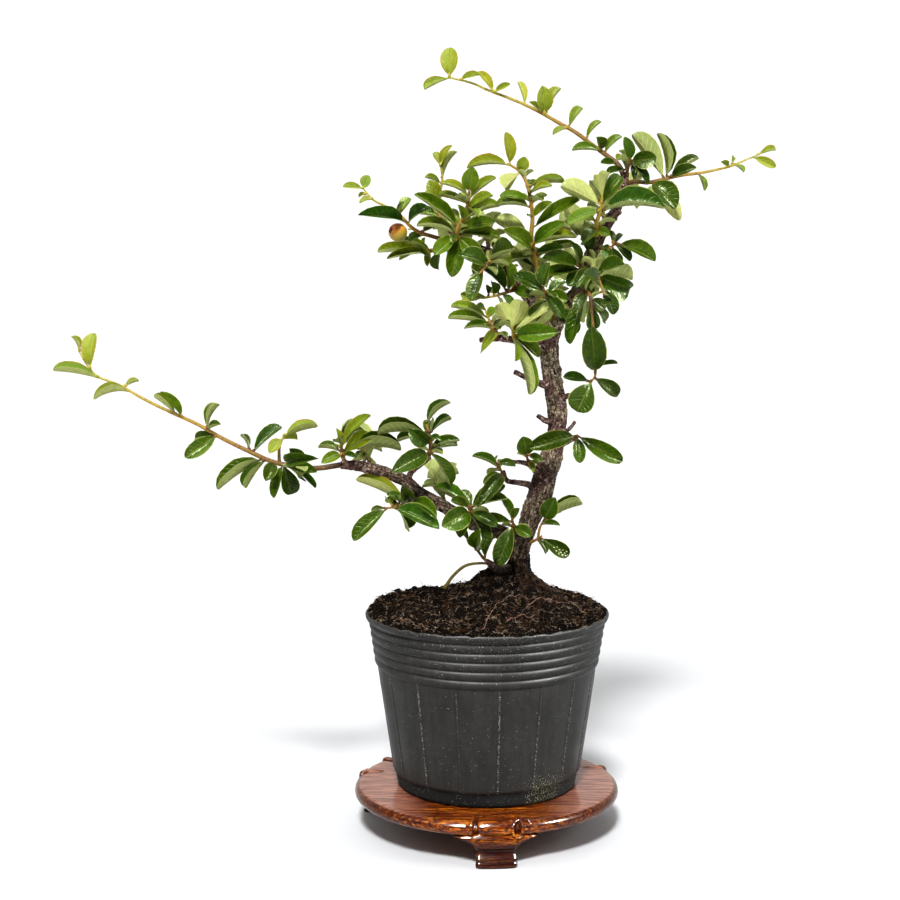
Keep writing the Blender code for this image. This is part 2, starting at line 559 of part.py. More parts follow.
def make_wood(name, collection, workshop, grow=0.0):
    """The trunk joined with its branches. Grown, it is the room that the wood needs in what it meets."""
    trunk = limb("trunk", TRUNK, 2, collection, grow)
    for branch, route in BRANCHES.items():
        limb(branch, route, 1, workshop, grow)
    wood = boolean(trunk, "UNION", workshop, name, collection)
    empty_collection(workshop)
    return wood


# Leaves


def turned_normal(direction, turn):
    """A leaf's upper side: towards the eye at 0 degrees, up at 90, away from the eye at 180."""
    facing = Vector((0, -1, 0))
    facing = (facing - direction * facing.dot(direction)).normalized()
    upward = facing.cross(direction)
    if upward.z < 0:
        upward = -upward
    angle = math.radians(turn)
    return facing * math.cos(angle) + upward * math.sin(angle)


def loft(rings, tip=None):
    """Points and faces of a skin over rings of equally many points. It ends in a tip, or flat."""
    count = len(rings[0])
    points = [point for ring in rings for point in ring]
    faces = [tuple(range(count))]
    for first in range(0, len(points) - count, count):
        for i in range(count):
            a, b = first + i, first + (i + 1) % count
            faces += [(a, b, b + count), (a, b + count, a + count)]
    last = [len(points) - count + i for i in range(count)]
    if tip is None:
        return points, [*faces, tuple(last)]
    faces += [(a, b, len(points)) for a, b in zip(last, [*last[1:], last[0]])]
    return [*points, tip], faces


def blade(base, tip, normal, width, bend, grow=0.0):
    """Points and faces of a leaf: a wedge from its stalk, widest past its middle and blunt at its tip,
    with a keel under its midrib, and arched by bend."""
    along = tip - base
    direction = along.normalized()
    normal = (normal - direction * normal.dot(direction)).normalized()
    side = direction.cross(normal)
    rings = []
    for t, half in ((0.0, 0.6), (0.56, 0.49 * width), (0.85, 0.37 * width)):
        centre = base + along * t + normal * (bend * 4 * t * (1 - t))
        edge = centre + normal * (LEAF_THICKNESS * 0.4 + grow)
        keel = centre - normal * (LEAF_THICKNESS * 0.6 + grow)
        rings.append([edge - side * (half + grow), edge + side * (half + grow), keel])
    return loft(rings, tip + direction * grow)


def route_place(points, station):
    """The point and direction at a share of the way along a stem."""
    lengths = [(b - a).length for a, b in zip(points, points[1:])]
    reach = station * sum(lengths)
    for a, b, length in zip(points, points[1:], lengths):
        if reach <= length + 1e-9:
            return a.lerp(b, reach / length), (b - a).normalized()
        reach -= length
    return points[-1].copy(), (points[-1] - points[-2]).normalized()


def tree_of(points, faces):
    return BVHTree.FromPolygons([tuple(point) for point in points], faces)


class Crowd:
    """What stands in the way: each solid's tree, with a ball round it and the node that it belongs to."""

    def __init__(self):
        self.solids = []

    def add(self, node, points, faces):
        centre = sum(points, Vector()) / len(points)
        reach = max((point - centre).length for point in points)
        self.solids.append((node, centre, reach, tree_of(points, faces)))

    def hits(self, node, points, faces, own):
        """Whether a leaf meets a solid of another node or, where own is set, of its own node too."""
        centre = sum(points, Vector()) / len(points)
        reach = max((point - centre).length for point in points)
        tree = None
        for other, middle, radius, solid in self.solids:
            if (other == node) != own or (middle - centre).length > radius + reach:
                continue
            tree = tree or tree_of(points, faces)
            if tree.overlap(solid):
                return True
        return False


def fitted_leaf(crowd, node, choices):
    """The first choice that clears everything, or else the first that clears the other nodes."""
    spare = None
    for base, tip, normal, width, bend in choices:
        grown = blade(base, tip, normal, width, bend, CLEARANCE / 2)
        if crowd.hits(node, *grown, own=False):
            continue
        beyond = base.lerp(tip, 0.22)
        outer = blade(beyond, tip, normal, width, bend)
        if not crowd.hits(node, *outer, own=True):
            return (base, tip, normal, width, bend), outer
        spare = spare or ((base, tip, normal, width, bend), outer)
    return spare


def listed_leaf_choices(points, leaf, draw):
    """A listed leaf keeps its place in the front view: only its depth and its turn give way."""
    station, x, z, step, width, turn = leaf
    base, _ = route_place(points, station)
    bend_share = draw.uniform(0.04, 0.13)
    lean = draw.uniform(-8, 8)
    for turn_by in (0, 22, -22, 45):
        for more in (0, -3, 3, -6, 6, -10, 10, -15, 15):
            tip = on_front(x, z, base.y + step + more)
            direction = (tip - base).normalized()
            normal = turned_normal(direction, turn + lean + turn_by)
            yield base, tip, normal, width, bend_share * (tip - base).length


def filling_leaf_choices(points, index, count, draw):
    """A leaf of a filling shoot: spiral round its stem, rising from it, with its upper side outwards."""
    station = 0.28 + 0.72 * index / (count - 1)
    base, direction = route_place(points, station)
    length = draw.uniform(13.0, 19.0) * (0.8 if index == count - 1 else 1.0)
    width = length * draw.uniform(0.42, 0.56)
    rise = math.radians(draw.uniform(38, 58) if index < count - 1 else 12)
    spiral = math.radians(137.5 * index) + draw.uniform(-0.3, 0.3)
    bend = length * draw.uniform(0.04, 0.12)
    across = direction.orthogonal().normalized()
    for shrink in (1.0, 0.86, 0.72):
        for more in (0, 24, -24, 48, -48, 75, -75, 105, -105):
            outward = Quaternion(direction, spiral + math.radians(more)) @ across
            leaf_way = direction * math.cos(rise) + outward * math.sin(rise)
            leaf_way = (leaf_way + Vector((0, 0, 0.18))).normalized()
            normal = direction * math.sin(rise) - outward * math.cos(rise) + Vector((0, 0, 0.9))
            yield base, base + leaf_way * length * shrink, normal, width * shrink, bend * shrink


def filling_route(root, tip):
    """A stem that bows up a little between its root and its tip."""
    start = on_front(*root)
    end = on_front(*tip)
    middle = start.lerp(end, 0.5) + Vector((0, 0, 3.0))
    return [start, middle, end]


def stem_list():
    """Every stem as (node, points, root radius, tip radius, what its leaves are)."""
    stems = []
    for node, parts in SHOOTS.items():
        for route, root_radius, tip_radius, leaves in parts:
            points = smooth_route([on_front(*place) for place in route], 1 if len(route) > 4 else 2)
            stems.append((node, points, root_radius, tip_radius, leaves))
    for node, (root, tip, count) in FILLING_SHOOTS.items():
        stems.append((node, filling_route(root, tip), 1.1, 0.6, count))
    return stems


def stem_radii(points, root_radius, tip_radius):
    count = len(points) - 1
    return [root_radius + (tip_radius - root_radius) * i / count for i in range(count + 1)]


def stem_cage(points, radii):
    """A square tube round a stem, for the crowd."""
    rings = []
    for i, (point, radius) in enumerate(zip(points, radii)):
        ahead = points[min(i + 1, len(points) - 1)] - points[max(i - 1, 0)]
        turn = ahead.to_track_quat("Z", "Y")
        corners = [Vector((1, 1, 0)), Vector((-1, 1, 0)), Vector((-1, -1, 0)), Vector((1, -1, 0))]
        rings.append([point + turn @ corner * radius * 0.92 for corner in corners])
    return loft(rings)


def place_leaves():
    """The leaves of every stem, each fitted so that no two nodes meet: lists of leaves beside the stems."""
    stems = stem_list()
    crowd = Crowd()
    for route in [TRUNK, *BRANCHES.values()]:
        points = [on_front(*place[:3]) for place in route]
        crowd.add("wood", *stem_cage(points, [place[3] + 0.4 for place in route]))
    for node, points, root_radius, tip_radius, _ in stems:
        crowd.add(node, *stem_cage(points, stem_radii(points, root_radius, tip_radius)))
    crowd.add("berry", *berry_cage())
    placed = []
    for number, (node, points, _, _, leaves) in enumerate(stems):
        draw = random.Random(FILLING_SEED + number)
        if isinstance(leaves, int):
            offers = [filling_leaf_choices(points, i, leaves, draw) for i in range(leaves)]
        else:
            offers = [listed_leaf_choices(points, leaf, draw) for leaf in leaves]
        fitted = []
        for offer in offers:
            found = fitted_leaf(crowd, node, offer)
            if found:
                fitted.append(found[0])
                crowd.add(node, *found[1])
        placed.append(fitted)
    return stems, placed


def berry_cage():
    centre = on_front(*BERRY_CENTRE)
    work = bmesh.new()
    bmesh.ops.create_icosphere(work, subdivisions=1, radius=BERRY_RADIUS + 0.5)
    points = [centre + vertex.co for vertex in work.verts]
    work.verts.ensure_lookup_table()
    faces = [tuple(vertex.index for vertex in face.verts) for face in work.faces]
    work.free()
    return points, faces


def make_shoots(collection, workshop, grown_wood, leaf_green, young_leaf):
    stems, placed = place_leaves()
    nodes = {}
    for (node, points, root_radius, tip_radius, _), leaves in zip(stems, placed):
        pieces = nodes.setdefault(node, [])
        pieces.append(("stem", points, stem_radii(points, root_radius, tip_radius)))
        pieces += [("leaf", *leaf) for leaf in leaves]
    for node, pieces in nodes.items():
        first = tube("first", *pieces[0][1:], 0, collection)
        for kind, *shape in pieces[1:]:
            if kind == "stem":
                tube("more", *shape, 0, workshop)
            else:
                mesh_object("leaf", *blade(*shape), workshop)
        joined = boolean(first, "UNION", workshop, node, collection) if len(pieces) > 1 else first
        empty_collection(workshop)
        shoot = boolean(joined, "DIFFERENCE", grown_wood, node, collection)
        drop_scraps(shoot)
        shoot.name = node
        shoot.data.materials.append(young_leaf if node in YOUNG_SHOOTS else leaf_green)


# The pot, its soil and the berry


def wall_radius(z):
    """The outer radius of the pot's wall, which its ribs stand out from."""
    return FOOT_RADIUS + (z - FOOT_LEVEL) * WALL_SLOPE


def pot_profile():
    outer = [(RIM_RADIUS, POT_RIM), (RIM_RADIUS + 0.4, POT_RIM - 0.8)]
    for rib in range(RIB_COUNT):
        z = RIB_TOP - rib * RIB_PITCH
        outer += [(wall_radius(z), z), (wall_radius(z) + RIB_DEPTH, z - RIB_PITCH / 2)]
    low_rib = RIB_TOP - RIB_COUNT * RIB_PITCH
    outer += [(wall_radius(low_rib), low_rib), (FOOT_RADIUS, FOOT_LEVEL), (45.8, 27.0),
    (44.0, POT_BASE)]
    inner = [(43.4, POT_BASE + WALL), (FOOT_RADIUS - WALL, FOOT_LEVEL)]
    inner += [(wall_radius(RIB_TOP) - WALL, RIB_TOP), (RIM_RADIUS - WALL, POT_RIM)]
    return [*outer, (DRAIN_RADIUS, POT_BASE), (DRAIN_RADIUS, POT_BASE + WALL), *inner]


def rim_drop(y, z):
    """How far the soft rim leans down towards the back."""
    share = max(0.0, (z - LEAN_FROM) / (POT_RIM - LEAN_FROM))
    return RIM_LEAN * share * (y + RIM_RADIUS) / (2 * RIM_RADIUS)


def make_pot(collection, black_plastic):
    pot = turned("pot", pot_profile(), 24, collection)
    for vertex in pot.data.vertices:
        vertex.co.z -= rim_drop(vertex.co.y / MM, vertex.co.z / MM) * MM
    pot.data.shade_smooth()
    pot.data.set_sharp_from_angle(angle=math.radians(50))
    pot.data.materials.append(black_plastic)


def soil_height(x, y):
    """The soil falls to the back with the rim and rises in a mound round the trunk."""
    away = math.hypot(x - MOUND_X, y)
    mound = MOUND_HEIGHT / (1 + (away / MOUND_SPREAD) ** 3)
    waves = 0.7 * math.sin(0.23 * x + 1.0) * math.cos(0.19 * y) + 0.4 * math.sin(0.5 * x - 0.41 * y)
    return SOIL_LEVEL - SOIL_FALL * (y + RIM_RADIUS) / (2 * RIM_RADIUS) + mound + waves * min(1.0, away / 30)


def soil_ring(radius, z=None):
    """A ring of the soil. The upper rings slide over towards the mound as they shrink."""
    slide = MOUND_X * (1 - (radius / RIM_RADIUS) ** 2) if z is None else 0.0
    ring = []
    for i in range(SOIL_SEGMENTS):
        angle = 2 * math.pi * i / SOIL_SEGMENTS
        x = slide + radius * math.cos(angle)
        y = radius * math.sin(angle)
        ring.append(Vector((x, y, soil_height(x, y) if z is None else z(y))))
    return ring


def make_soil(collection, grown_wood, dark_soil):
    inside = WALL + 0.8
    rings = [
        soil_ring(42.6, lambda y: POT_BASE + WALL + GAP),
        soil_ring(FOOT_RADIUS - inside, lambda y: FOOT_LEVEL),
        soil_ring(wall_radius(RIB_TOP) - inside, lambda y: POT_RIM - rim_drop(y, POT_RIM) - 1.0),
    ]
    rings += [soil_ring(radius) for radius in (47, 35, 26, 18, 11, 5)]
    mound = mesh_object("mound", *loft(rings, Vector((MOUND_X, 0, soil_height(MOUND_X, 0)))), collection)
    soil = boolean(mound, "DIFFERENCE", grown_wood, "soil", collection)
    soil.data.materials.append(dark_soil)


def make_berry(collection, ripening_red):
    mesh = bpy.data.meshes.new("berry")
    work = bmesh.new()
    bmesh.ops.create_uvsphere(work, u_segments=10, v_segments=6, radius=BERRY_RADIUS * MM)
    work.to_mesh(mesh)
    work.free()
    berry = bpy.data.objects.new("berry", mesh)
    berry.location = on_front(*BERRY_CENTRE) * MM
    berry.rotation_euler = (0, math.radians(-70), math.radians(10))
    collection.objects.link(berry)
    mesh.shade_smooth()
    mesh.materials.append(ripening_red)


# The stand


def leg_frame(leg, reach):
    """The frame of a leg: X across it, Y up and Z outwards, reach millimetres from the axis."""
    turn = Matrix.Rotation(math.radians(LEG_TURN + 360 * leg / LEG_COUNT), 4, "Z")
    return turn @ Matrix.Translation((0, -reach * MM, 0)) @ Matrix.Rotation(math.radians(90), 4, "X")


def make_stand_top(collection, cutters, red_wood):
    profile = [
        (0, STAND_TOP), (57.5, STAND_TOP), (61.6, STAND_TOP - 0.7), (64.8, STAND_TOP - 2.6),
        (STAND_RADIUS, STAND_TOP - 5), (65.2, STAND_UNDERSIDE + 0.9), (62.5, STAND_UNDERSIDE),
        (0, STAND_UNDERSIDE),
    ]
    top = turned("disc", profile, 36, collection)
    inner = LEG_INLET_RADIUS - 1.2
    for leg in range(LEG_COUNT):
        work = bmesh.new()
        bmesh.ops.create_cube(work, size=1.0)
        size = Vector((2 * (LEG_HALF_WIDTH + GAP), 30.0, 20.0)) * MM
        bmesh.ops.scale(work, verts=work.verts, vec=size)
        mesh = bpy.data.meshes.new("notch")
        work.to_mesh(mesh)
        work.free()
        notch = bpy.data.objects.new("notch", mesh)
        notch.matrix_world = leg_frame(leg, inner + 10.0) @ Matrix.Translation((0, STAND_TOP * MM, 0))
        cutters.objects.link(notch)
        top = boolean(top, "DIFFERENCE", notch, "stand_top", collection)
    empty_collection(cutters)
    top.data.shade_smooth()
    top.data.set_sharp_from_angle(angle=math.radians(40))
    top.data.materials.append(red_wood)


def make_leg(name, leg, collection, cutters, red_wood):
    """A leg let into the stand's edge: its outline from the front, extruded outwards, is cut to the
    curved section that a ring of the stand's wood would have."""
    under = STAND_UNDERSIDE - GAP
    half = [
        (LEG_HALF_WIDTH, STAND_TOP + 4), (LEG_HALF_WIDTH, under), (23.0, under), (17.5, 13.2),
        (13.0, 11.8), (10.4, 9.6), (9.3, 6.4), (9.1, 1.4), (8.4, -3.0),
    ]
    outline = bpy.data.curves.new("outline", "CURVE")
    outline.dimensions = "2D"
    outline.fill_mode = "BOTH"
    outline.extrude = 15 * MM
    spline = outline.splines.new("POLY")
    corners = [*half, *[(-across, z) for across, z in reversed(half)]]
    spline.points.add(len(corners) - 1)
    for place, (across, z) in zip(spline.points, corners):
        place.co = (across * MM, z * MM, 0.0, 1.0)
    spline.use_cyclic_u = True
    extruded = bpy.data.objects.new("extruded", outline)
    extruded.matrix_world = leg_frame(leg, 60.0)
    collection.objects.link(extruded)
    made = baked(extruded, name, collection)
    section = [
        (LEG_INLET_RADIUS, STAND_TOP - 0.4), (61.4, STAND_TOP - 1.1), (64.2, STAND_TOP - 2.9),
        (65.3, STAND_TOP - 5), (65.2, 15.6), (64.0, 11.5), (63.2, 8.0), (64.6, 4.8), (64.0, 4.1),
        (65.8, 2.6), (66.2, 0.0), (55.5, 0.0), (54.6, 5.0), (52.0, 11.0), (50.0, under),
        (LEG_INLET_RADIUS, under),
    ]
    ring = turned("ring", section, 48, cutters)
    made = boolean(made, "INTERSECT", ring, name, collection)
    empty_collection(cutters)
    made.data.materials.append(red_wood)


def main():
    clear_scene()
    bonsai = new_collection("cotoneaster bonsai")
    cutters = new_collection("cutters")
    workshop = new_collection("workshop")
    bark = new_material("bark", (0.16, 0.12, 0.09), 0.9)
    leaf_green = new_material("leaf green", (0.09, 0.19, 0.03), 0.4)
    young_leaf = new_material("young leaf", (0.32, 0.40, 0.07), 0.45)
    black_plastic = new_material("black plastic", (0.035, 0.035, 0.034), 0.45)
    dark_soil = new_material("dark soil", (0.03, 0.02, 0.014), 1.0)
    ripening_red = new_material("ripening berry", (0.55, 0.30, 0.10), 0.35)
    red_wood = new_material("red wood", (0.24, 0.07, 0.02), 0.25)

    grown_wood = make_wood("grown_wood", bonsai, workshop, GAP)
    wood = make_wood("wood", bonsai, workshop)
    wood.data.shade_smooth()
    wood.data.materials.append(bark)
    make_shoots(bonsai, workshop, grown_wood, leaf_green, young_leaf)
    make_pot(bonsai, black_plastic)
    make_soil(bonsai, grown_wood, dark_soil)
    make_berry(bonsai, ripening_red)
    make_stand_top(bonsai, cutters, red_wood)
    for leg, name in enumerate(("stand_leg_front", "stand_leg_right", "stand_leg_left")):
        make_leg(name, leg, bonsai, cutters, red_wood)
    bpy.data.objects.remove(grown_wood, do_unlink=True)

    place = bpy.data.objects.new("bonsai_place", None)
    bonsai.objects.link(place)
    place.location = POT_AXIS * MM
    for item in list(bonsai.objects):
        if item is not place:
            item.parent = place
    for collection in (cutters, workshop):
        bpy.data.collections.remove(collection)


main()
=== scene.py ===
# %% [markdown]
# # A cotoneaster bonsai on its stand
# A cotoneaster is a small shrub with leathery leaves. This one is trained as a bonsai: a trunk with cracked
# bark, one long low branch, a full crown and long young shoots. It grows in a soft nursery pot that stands
# on a round lacquered stand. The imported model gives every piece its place, and this script gives each piece
# the shape and the finish that a close look shows.

import math
import random

import bmesh
import bpy
from mathutils import Matrix, Quaternion, Vector, noise
from mathutils.bvhtree import BVHTree
from mathutils.kdtree import KDTree
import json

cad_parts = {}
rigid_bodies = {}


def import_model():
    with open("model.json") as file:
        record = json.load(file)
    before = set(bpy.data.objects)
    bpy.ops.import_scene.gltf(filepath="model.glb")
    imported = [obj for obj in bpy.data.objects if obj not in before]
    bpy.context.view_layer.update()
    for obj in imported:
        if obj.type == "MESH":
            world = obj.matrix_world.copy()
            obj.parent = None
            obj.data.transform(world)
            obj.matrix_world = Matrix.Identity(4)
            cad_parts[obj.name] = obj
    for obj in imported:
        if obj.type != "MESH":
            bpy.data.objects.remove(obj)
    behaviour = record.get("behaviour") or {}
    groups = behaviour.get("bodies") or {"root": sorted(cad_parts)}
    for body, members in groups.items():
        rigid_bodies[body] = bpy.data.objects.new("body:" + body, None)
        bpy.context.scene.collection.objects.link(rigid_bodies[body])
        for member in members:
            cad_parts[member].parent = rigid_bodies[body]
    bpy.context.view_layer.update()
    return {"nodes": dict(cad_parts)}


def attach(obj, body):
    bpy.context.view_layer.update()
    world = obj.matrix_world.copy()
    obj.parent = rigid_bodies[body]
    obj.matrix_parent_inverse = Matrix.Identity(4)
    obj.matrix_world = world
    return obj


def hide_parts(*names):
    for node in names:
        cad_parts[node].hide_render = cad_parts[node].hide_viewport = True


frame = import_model()
print("the packed model has", len(frame["nodes"]), "nodes")

# %% [markdown]
# ## Where things are
# The numbers below are millimetres, measured from the middle of the pot, with the bonsai's front towards -Y.
# A bonsai is made to be seen from its front, so the shoots are written down as they are seen there: a place
# is (x, z, depth), and depth slides it along the line of sight. That keeps a shoot where the eye sees it
# while its depth is still free.

# %% Places
MM = 0.001
POT_AXIS = Vector((35.6, -2.0, 0.0))
EYE = Vector((-18.3, -1250.0, 423.8))


def on_front(x, z, depth=0.0):
    """The point seen at (x, z) on the front plane, moved back by depth along the line of sight."""
    return EYE + (Vector((x, 0.0, z)) - EYE) * (1.0 - depth / EYE.y)


def in_place(point):
    """A point in millimetres from the pot's axis, as metres in the model."""
    return (Vector(point) + POT_AXIS) * MM


print("the front eye stands", round((POT_AXIS + EYE).length * MM, 3), "m away")

# %% [markdown]
# ## The camera
# The camera looks down a little from the front. A long lens from more than a metre away keeps the crown and
# the pot at nearly the same scale, as a product photographer would want.

# %% Camera
CAMERA_TILT = 10.5


def shown(name, data):
    """A new object of this data, in the scene."""
    made = bpy.data.objects.new(name, data)
    bpy.context.scene.collection.objects.link(made)
    return made


camera_data = bpy.data.cameras.new("front camera")
camera_data.sensor_width = 36.0
camera_data.lens = 103.7
camera_data.clip_end = 200.0
camera = shown("front camera", camera_data)
camera.location = (POT_AXIS + EYE) * MM
camera.rotation_euler = (math.radians(90.0 - CAMERA_TILT), 0.0, 0.0)
bpy.context.scene.camera = camera
print("lens", camera_data.lens, "mm")

# %% [markdown]
# ## Shader helpers
# Every finish here is a node tree. Small helpers keep the trees readable: they calculate, blend two colours,
# stain a tone where a mask allows it, and map a range of values onto another. A socket knows the tree that it
# belongs to, so only the first node of a finish has to be told its tree. A colour is written as the eye sees
# it, 0 to 255, and is turned into the linear light that a shader wants.

# %% Shader helpers
def paint(red, green, blue):
    """A display colour of 0 to 255 as linear light."""
    shares = [channel / 255.0 for channel in (red, green, blue)]
    linear = [s / 12.92 if s <= 0.04045 else ((s + 0.055) / 1.055) ** 2.4 for s in shares]
    return (*linear, 1.0)


def put(value, socket):
    """Links a socket, or sets a value."""
    if isinstance(value, bpy.types.NodeSocket):
        socket.id_data.links.new(value, socket)
    else:
        socket.default_value = value


def add(tree, kind, inputs=None, **settings):
    made = tree.nodes.new(kind)
    for key, value in settings.items():
        setattr(made, key, value)
    for key, value in (inputs or {}).items():
        put(value, made.inputs[key])
    return made


def home(*values):
    """The tree that the first socket among the values belongs to."""
    return next(value.id_data for value in values if isinstance(value, bpy.types.NodeSocket))


def calc(operation, *values):
    made = add(home(*values), "ShaderNodeMath", operation=operation)
    for value, socket in zip(values, made.inputs):
        put(value, socket)
    return made.outputs[0]


def times(first, second):
    return calc("MULTIPLY", first, second)


def plus(first, second):
    return calc("ADD", first, second)


def minus(first, second):
    return calc("SUBTRACT", first, second)


print("a display grey of 128 is", round(paint(128, 128, 128)[0], 2), "of full light")

# %% Vectors and masks
def vector_calc(operation, *vectors):
    return add(home(*vectors), "ShaderNodeVectorMath", dict(enumerate(vectors)), operation=operation).outputs


def xyz(vector):
    """The three parts of a vector."""
    return add(home(vector), "ShaderNodeSeparateXYZ", {"Vector": vector}).outputs


def blend(share, first, second, way="MIX"):
    """Two colours mixed by a share."""
    made = add(home(share, first), "ShaderNodeMix", data_type="RGBA", blend_type=way)
    for key, item in ((0, share), (6, first), (7, second)):
        put(item, made.inputs[key])
    return made.outputs[2]


def stain(tone, where, colour, strength=1.0):
    """A colour of 0 to 255 laid over a tone where a mask lets it through."""
    share = where if strength == 1.0 else times(where, strength)
    return blend(share, tone, paint(*colour))


def spread(value, low, high, to_low=0.0, to_high=1.0):
    """A range of values mapped smoothly onto another."""
    made = add(home(value), "ShaderNodeMapRange", interpolation_type="SMOOTHSTEP")
    for key, item in enumerate((value, low, high, to_low, to_high)):
        put(item, made.inputs[key])
    return made.outputs[0]


print("mask helpers ready")

# %% Patterns
def cloud(vector, scale, detail=2.0, roughness=0.5):
    """Noise of 0 to 1 with so many lumps a metre."""
    inputs = {"Vector": vector, "Scale": scale, "Detail": detail, "Roughness": roughness}
    return add(home(vector), "ShaderNodeTexNoise", inputs).outputs["Fac"]


def stretched(vector, *scale):
    """Coordinates scaled by three factors, so that a pattern runs along one direction."""
    return add(home(vector), "ShaderNodeMapping", {"Vector": vector, "Scale": scale}).outputs[0]


def shades(value, *stops):
    """A colour ramp of stops, each a position and a colour of 0 to 255."""
    made = add(home(value), "ShaderNodeValToRGB", {"Fac": value})
    ramp = made.color_ramp
    while len(ramp.elements) < len(stops):
        ramp.elements.new(0.5)
    for element, (position, *colour) in zip(ramp.elements, stops):
        element.position = position
        element.color = paint(*colour)
    return made.outputs["Color"]


def relief(height, depth, strength=1.0):
    """A bump of a height of 0 to 1, so many metres deep."""
    inputs = {"Height": height, "Distance": depth, "Strength": strength}
    return add(home(height), "ShaderNodeBump", inputs).outputs[0]


print("pattern helpers ready")

# %% A finish
def new_finish(name):
    """A material with its node tree, its shader and its object coordinates."""
    material = bpy.data.materials.new(name)
    material.use_nodes = True
    tree = material.node_tree
    shader = tree.nodes["Principled BSDF"]
    coordinates = add(tree, "ShaderNodeTexCoord").outputs["Object"]
    return material, tree, shader, coordinates


def surface(shader, tone, bump, roughness, specular=0.5):
    """Gives a shader its colour, its relief, its roughness and how strongly it mirrors."""
    put(tone, shader.inputs["Base Color"])
    put(bump, shader.inputs["Normal"])
    put(roughness, shader.inputs["Roughness"])
    put(specular, shader.inputs["Specular IOR Level"])


def named(tree, attribute):
    return add(tree, "ShaderNodeAttribute", attribute_name=attribute).outputs["Fac"]


print("finish helpers ready")

# %% [markdown]
# ## Floor and light
# The bonsai stands on a plain pale floor that is wide enough to fill the background. Sun lamps light all of
# it alike, so it stays one even tone up to its far edge, and a wide disc makes their shadows soft. The key
# lamp stands high in front and draws the stand's shadow under it. Some lamps add only highlights: three glint
# lamps, one above the other like a tall window, on lacquer and leaves, and the edge lamp on the pot's ribs.
# Three weak ones open up the shade. The surround is pale behind the bonsai and dark in front, so that dark
# and glossy things keep their depth and get bright rims. The view adds a little contrast, as a print does.

# %% Floor
FLOOR_RADIUS = 60.0
floor_mesh = bpy.data.meshes.new("studio_floor")
floor_work = bmesh.new()
bmesh.ops.create_circle(floor_work, cap_ends=True, segments=64, radius=FLOOR_RADIUS)
floor_work.to_mesh(floor_mesh)
floor_work.free()
studio_floor = shown("studio_floor", floor_mesh)
floor_paper, tree, shader, coordinates = new_finish("pale paper")
paper_tone = cloud(coordinates, 1.3, 3.0)
paper_colour = blend(paper_tone, paint(218, 220, 223), paint(223, 225, 227))
surface(shader, paper_colour, relief(cloud(coordinates, 900.0, 2.0), 0.00005, 0.3), 0.9, 0.2)
floor_mesh.materials.append(floor_paper)
print("floor", 2 * FLOOR_RADIUS, "m across")

# %% Lamps
def lamp(name, azimuth, height, width, strength, shades_matt=True, shows_in_gloss=True):
    """A far lamp seen as a disc so many degrees wide. Azimuth 0 is the front, and 90 is the right."""
    data = bpy.data.lights.new(name, "SUN")
    data.angle = math.radians(width)
    data.energy = strength
    made = shown(name, data)
    turn = math.radians(azimuth)
    rise = math.radians(height)
    away = Vector((math.sin(turn) * math.cos(rise), -math.cos(turn) * math.cos(rise), math.sin(rise)))
    made.location = away * 2.0
    made.rotation_euler = away.to_track_quat("Z", "Y").to_euler()
    made.visible_diffuse = shades_matt
    made.visible_glossy = shows_in_gloss


lamp("key lamp", -6, 48, 9, 3.35, shows_in_gloss=False)
for height, strength in ((42, 4.0), (57, 7.5), (72, 3.0)):
    lamp(f"glint lamp {height}", -28, height, 10, strength, shades_matt=False)
lamp("edge lamp", 68, 36, 12, 12.0, shades_matt=False)
lamp("left lamp", -75, 36, 30, 0.25)
lamp("right lamp", 80, 32, 30, 0.4)
lamp("top lamp", 0, 80, 30, 0.3)
surround = bpy.data.worlds.new("pale surround")
surround.use_nodes = True
tree = surround.node_tree
surround_side = xyz(add(tree, "ShaderNodeTexCoord").outputs["Generated"])["Y"]
surround_light = tree.nodes["Background"]
surround_light.inputs["Color"].default_value = (1.0, 0.98, 0.95, 1.0)
put(spread(surround_side, -0.1, 0.95, 0.05, 0.8), surround_light.inputs["Strength"])
bpy.context.scene.world = surround
bpy.context.scene.view_settings.view_transform = "Standard"
bpy.context.scene.view_settings.look = "Medium High Contrast"
print("eight lamps and a pale surround")

# %% [markdown]
# ## Mesh helpers
# Most pieces are skins over rings of points. One helper lofts such rings, one turns points and faces into an
# object with its faces outwards, and one turns an evaluated object into a plain mesh. A piece keeps its place
# in its own mesh, so its object stays at the origin, and patterns on object coordinates stay put.

# %% Mesh helpers
def skin(rings, tip=None, split=False):
    """Points and faces over rings of equally many points, ending in a tip or flat. Split faces have
    three sides."""
    count = len(rings[0])
    points = [point for ring in rings for point in ring]
    faces = [tuple(range(count))]
    for first in range(0, len(points) - count, count):
        for i in range(count):
            a, b = first + i, first + (i + 1) % count
            c, d = b + count, a + count
            faces += [(a, b, c), (a, c, d)] if split else [(a, b, c, d)]
    last = [len(points) - count + i for i in range(count)]
    if tip is None:
        return points, [*faces, tuple(last)]
    faces += [(a, b, len(points)) for a, b in zip(last, [*last[1:], last[0]])]
    return [*points, tip], faces


def outward_mesh(name, points, faces):
    """A smooth mesh with its faces turned outwards."""
    mesh = bpy.data.meshes.new(name)
    mesh.from_pydata(points, [], faces)
    work = bmesh.new()
    work.from_mesh(mesh)
    bmesh.ops.recalc_face_normals(work, faces=work.faces)
    work.to_mesh(mesh)
    work.free()
    mesh.shade_smooth()
    return mesh


def mesh_piece(name, points, faces):
    """An object from points in millimetres."""
    return shown(name, outward_mesh(name, [in_place(point) for point in points], faces))


def plain_mesh(source, name):
    """The evaluated source as an object with a plain mesh. The source goes."""
    bpy.context.view_layer.update()
    graph = bpy.context.evaluated_depsgraph_get()
    mesh = bpy.data.meshes.new_from_object(source.evaluated_get(graph))
    mesh.name = name
    bpy.data.objects.remove(source, do_unlink=True)
    return shown(name, mesh)


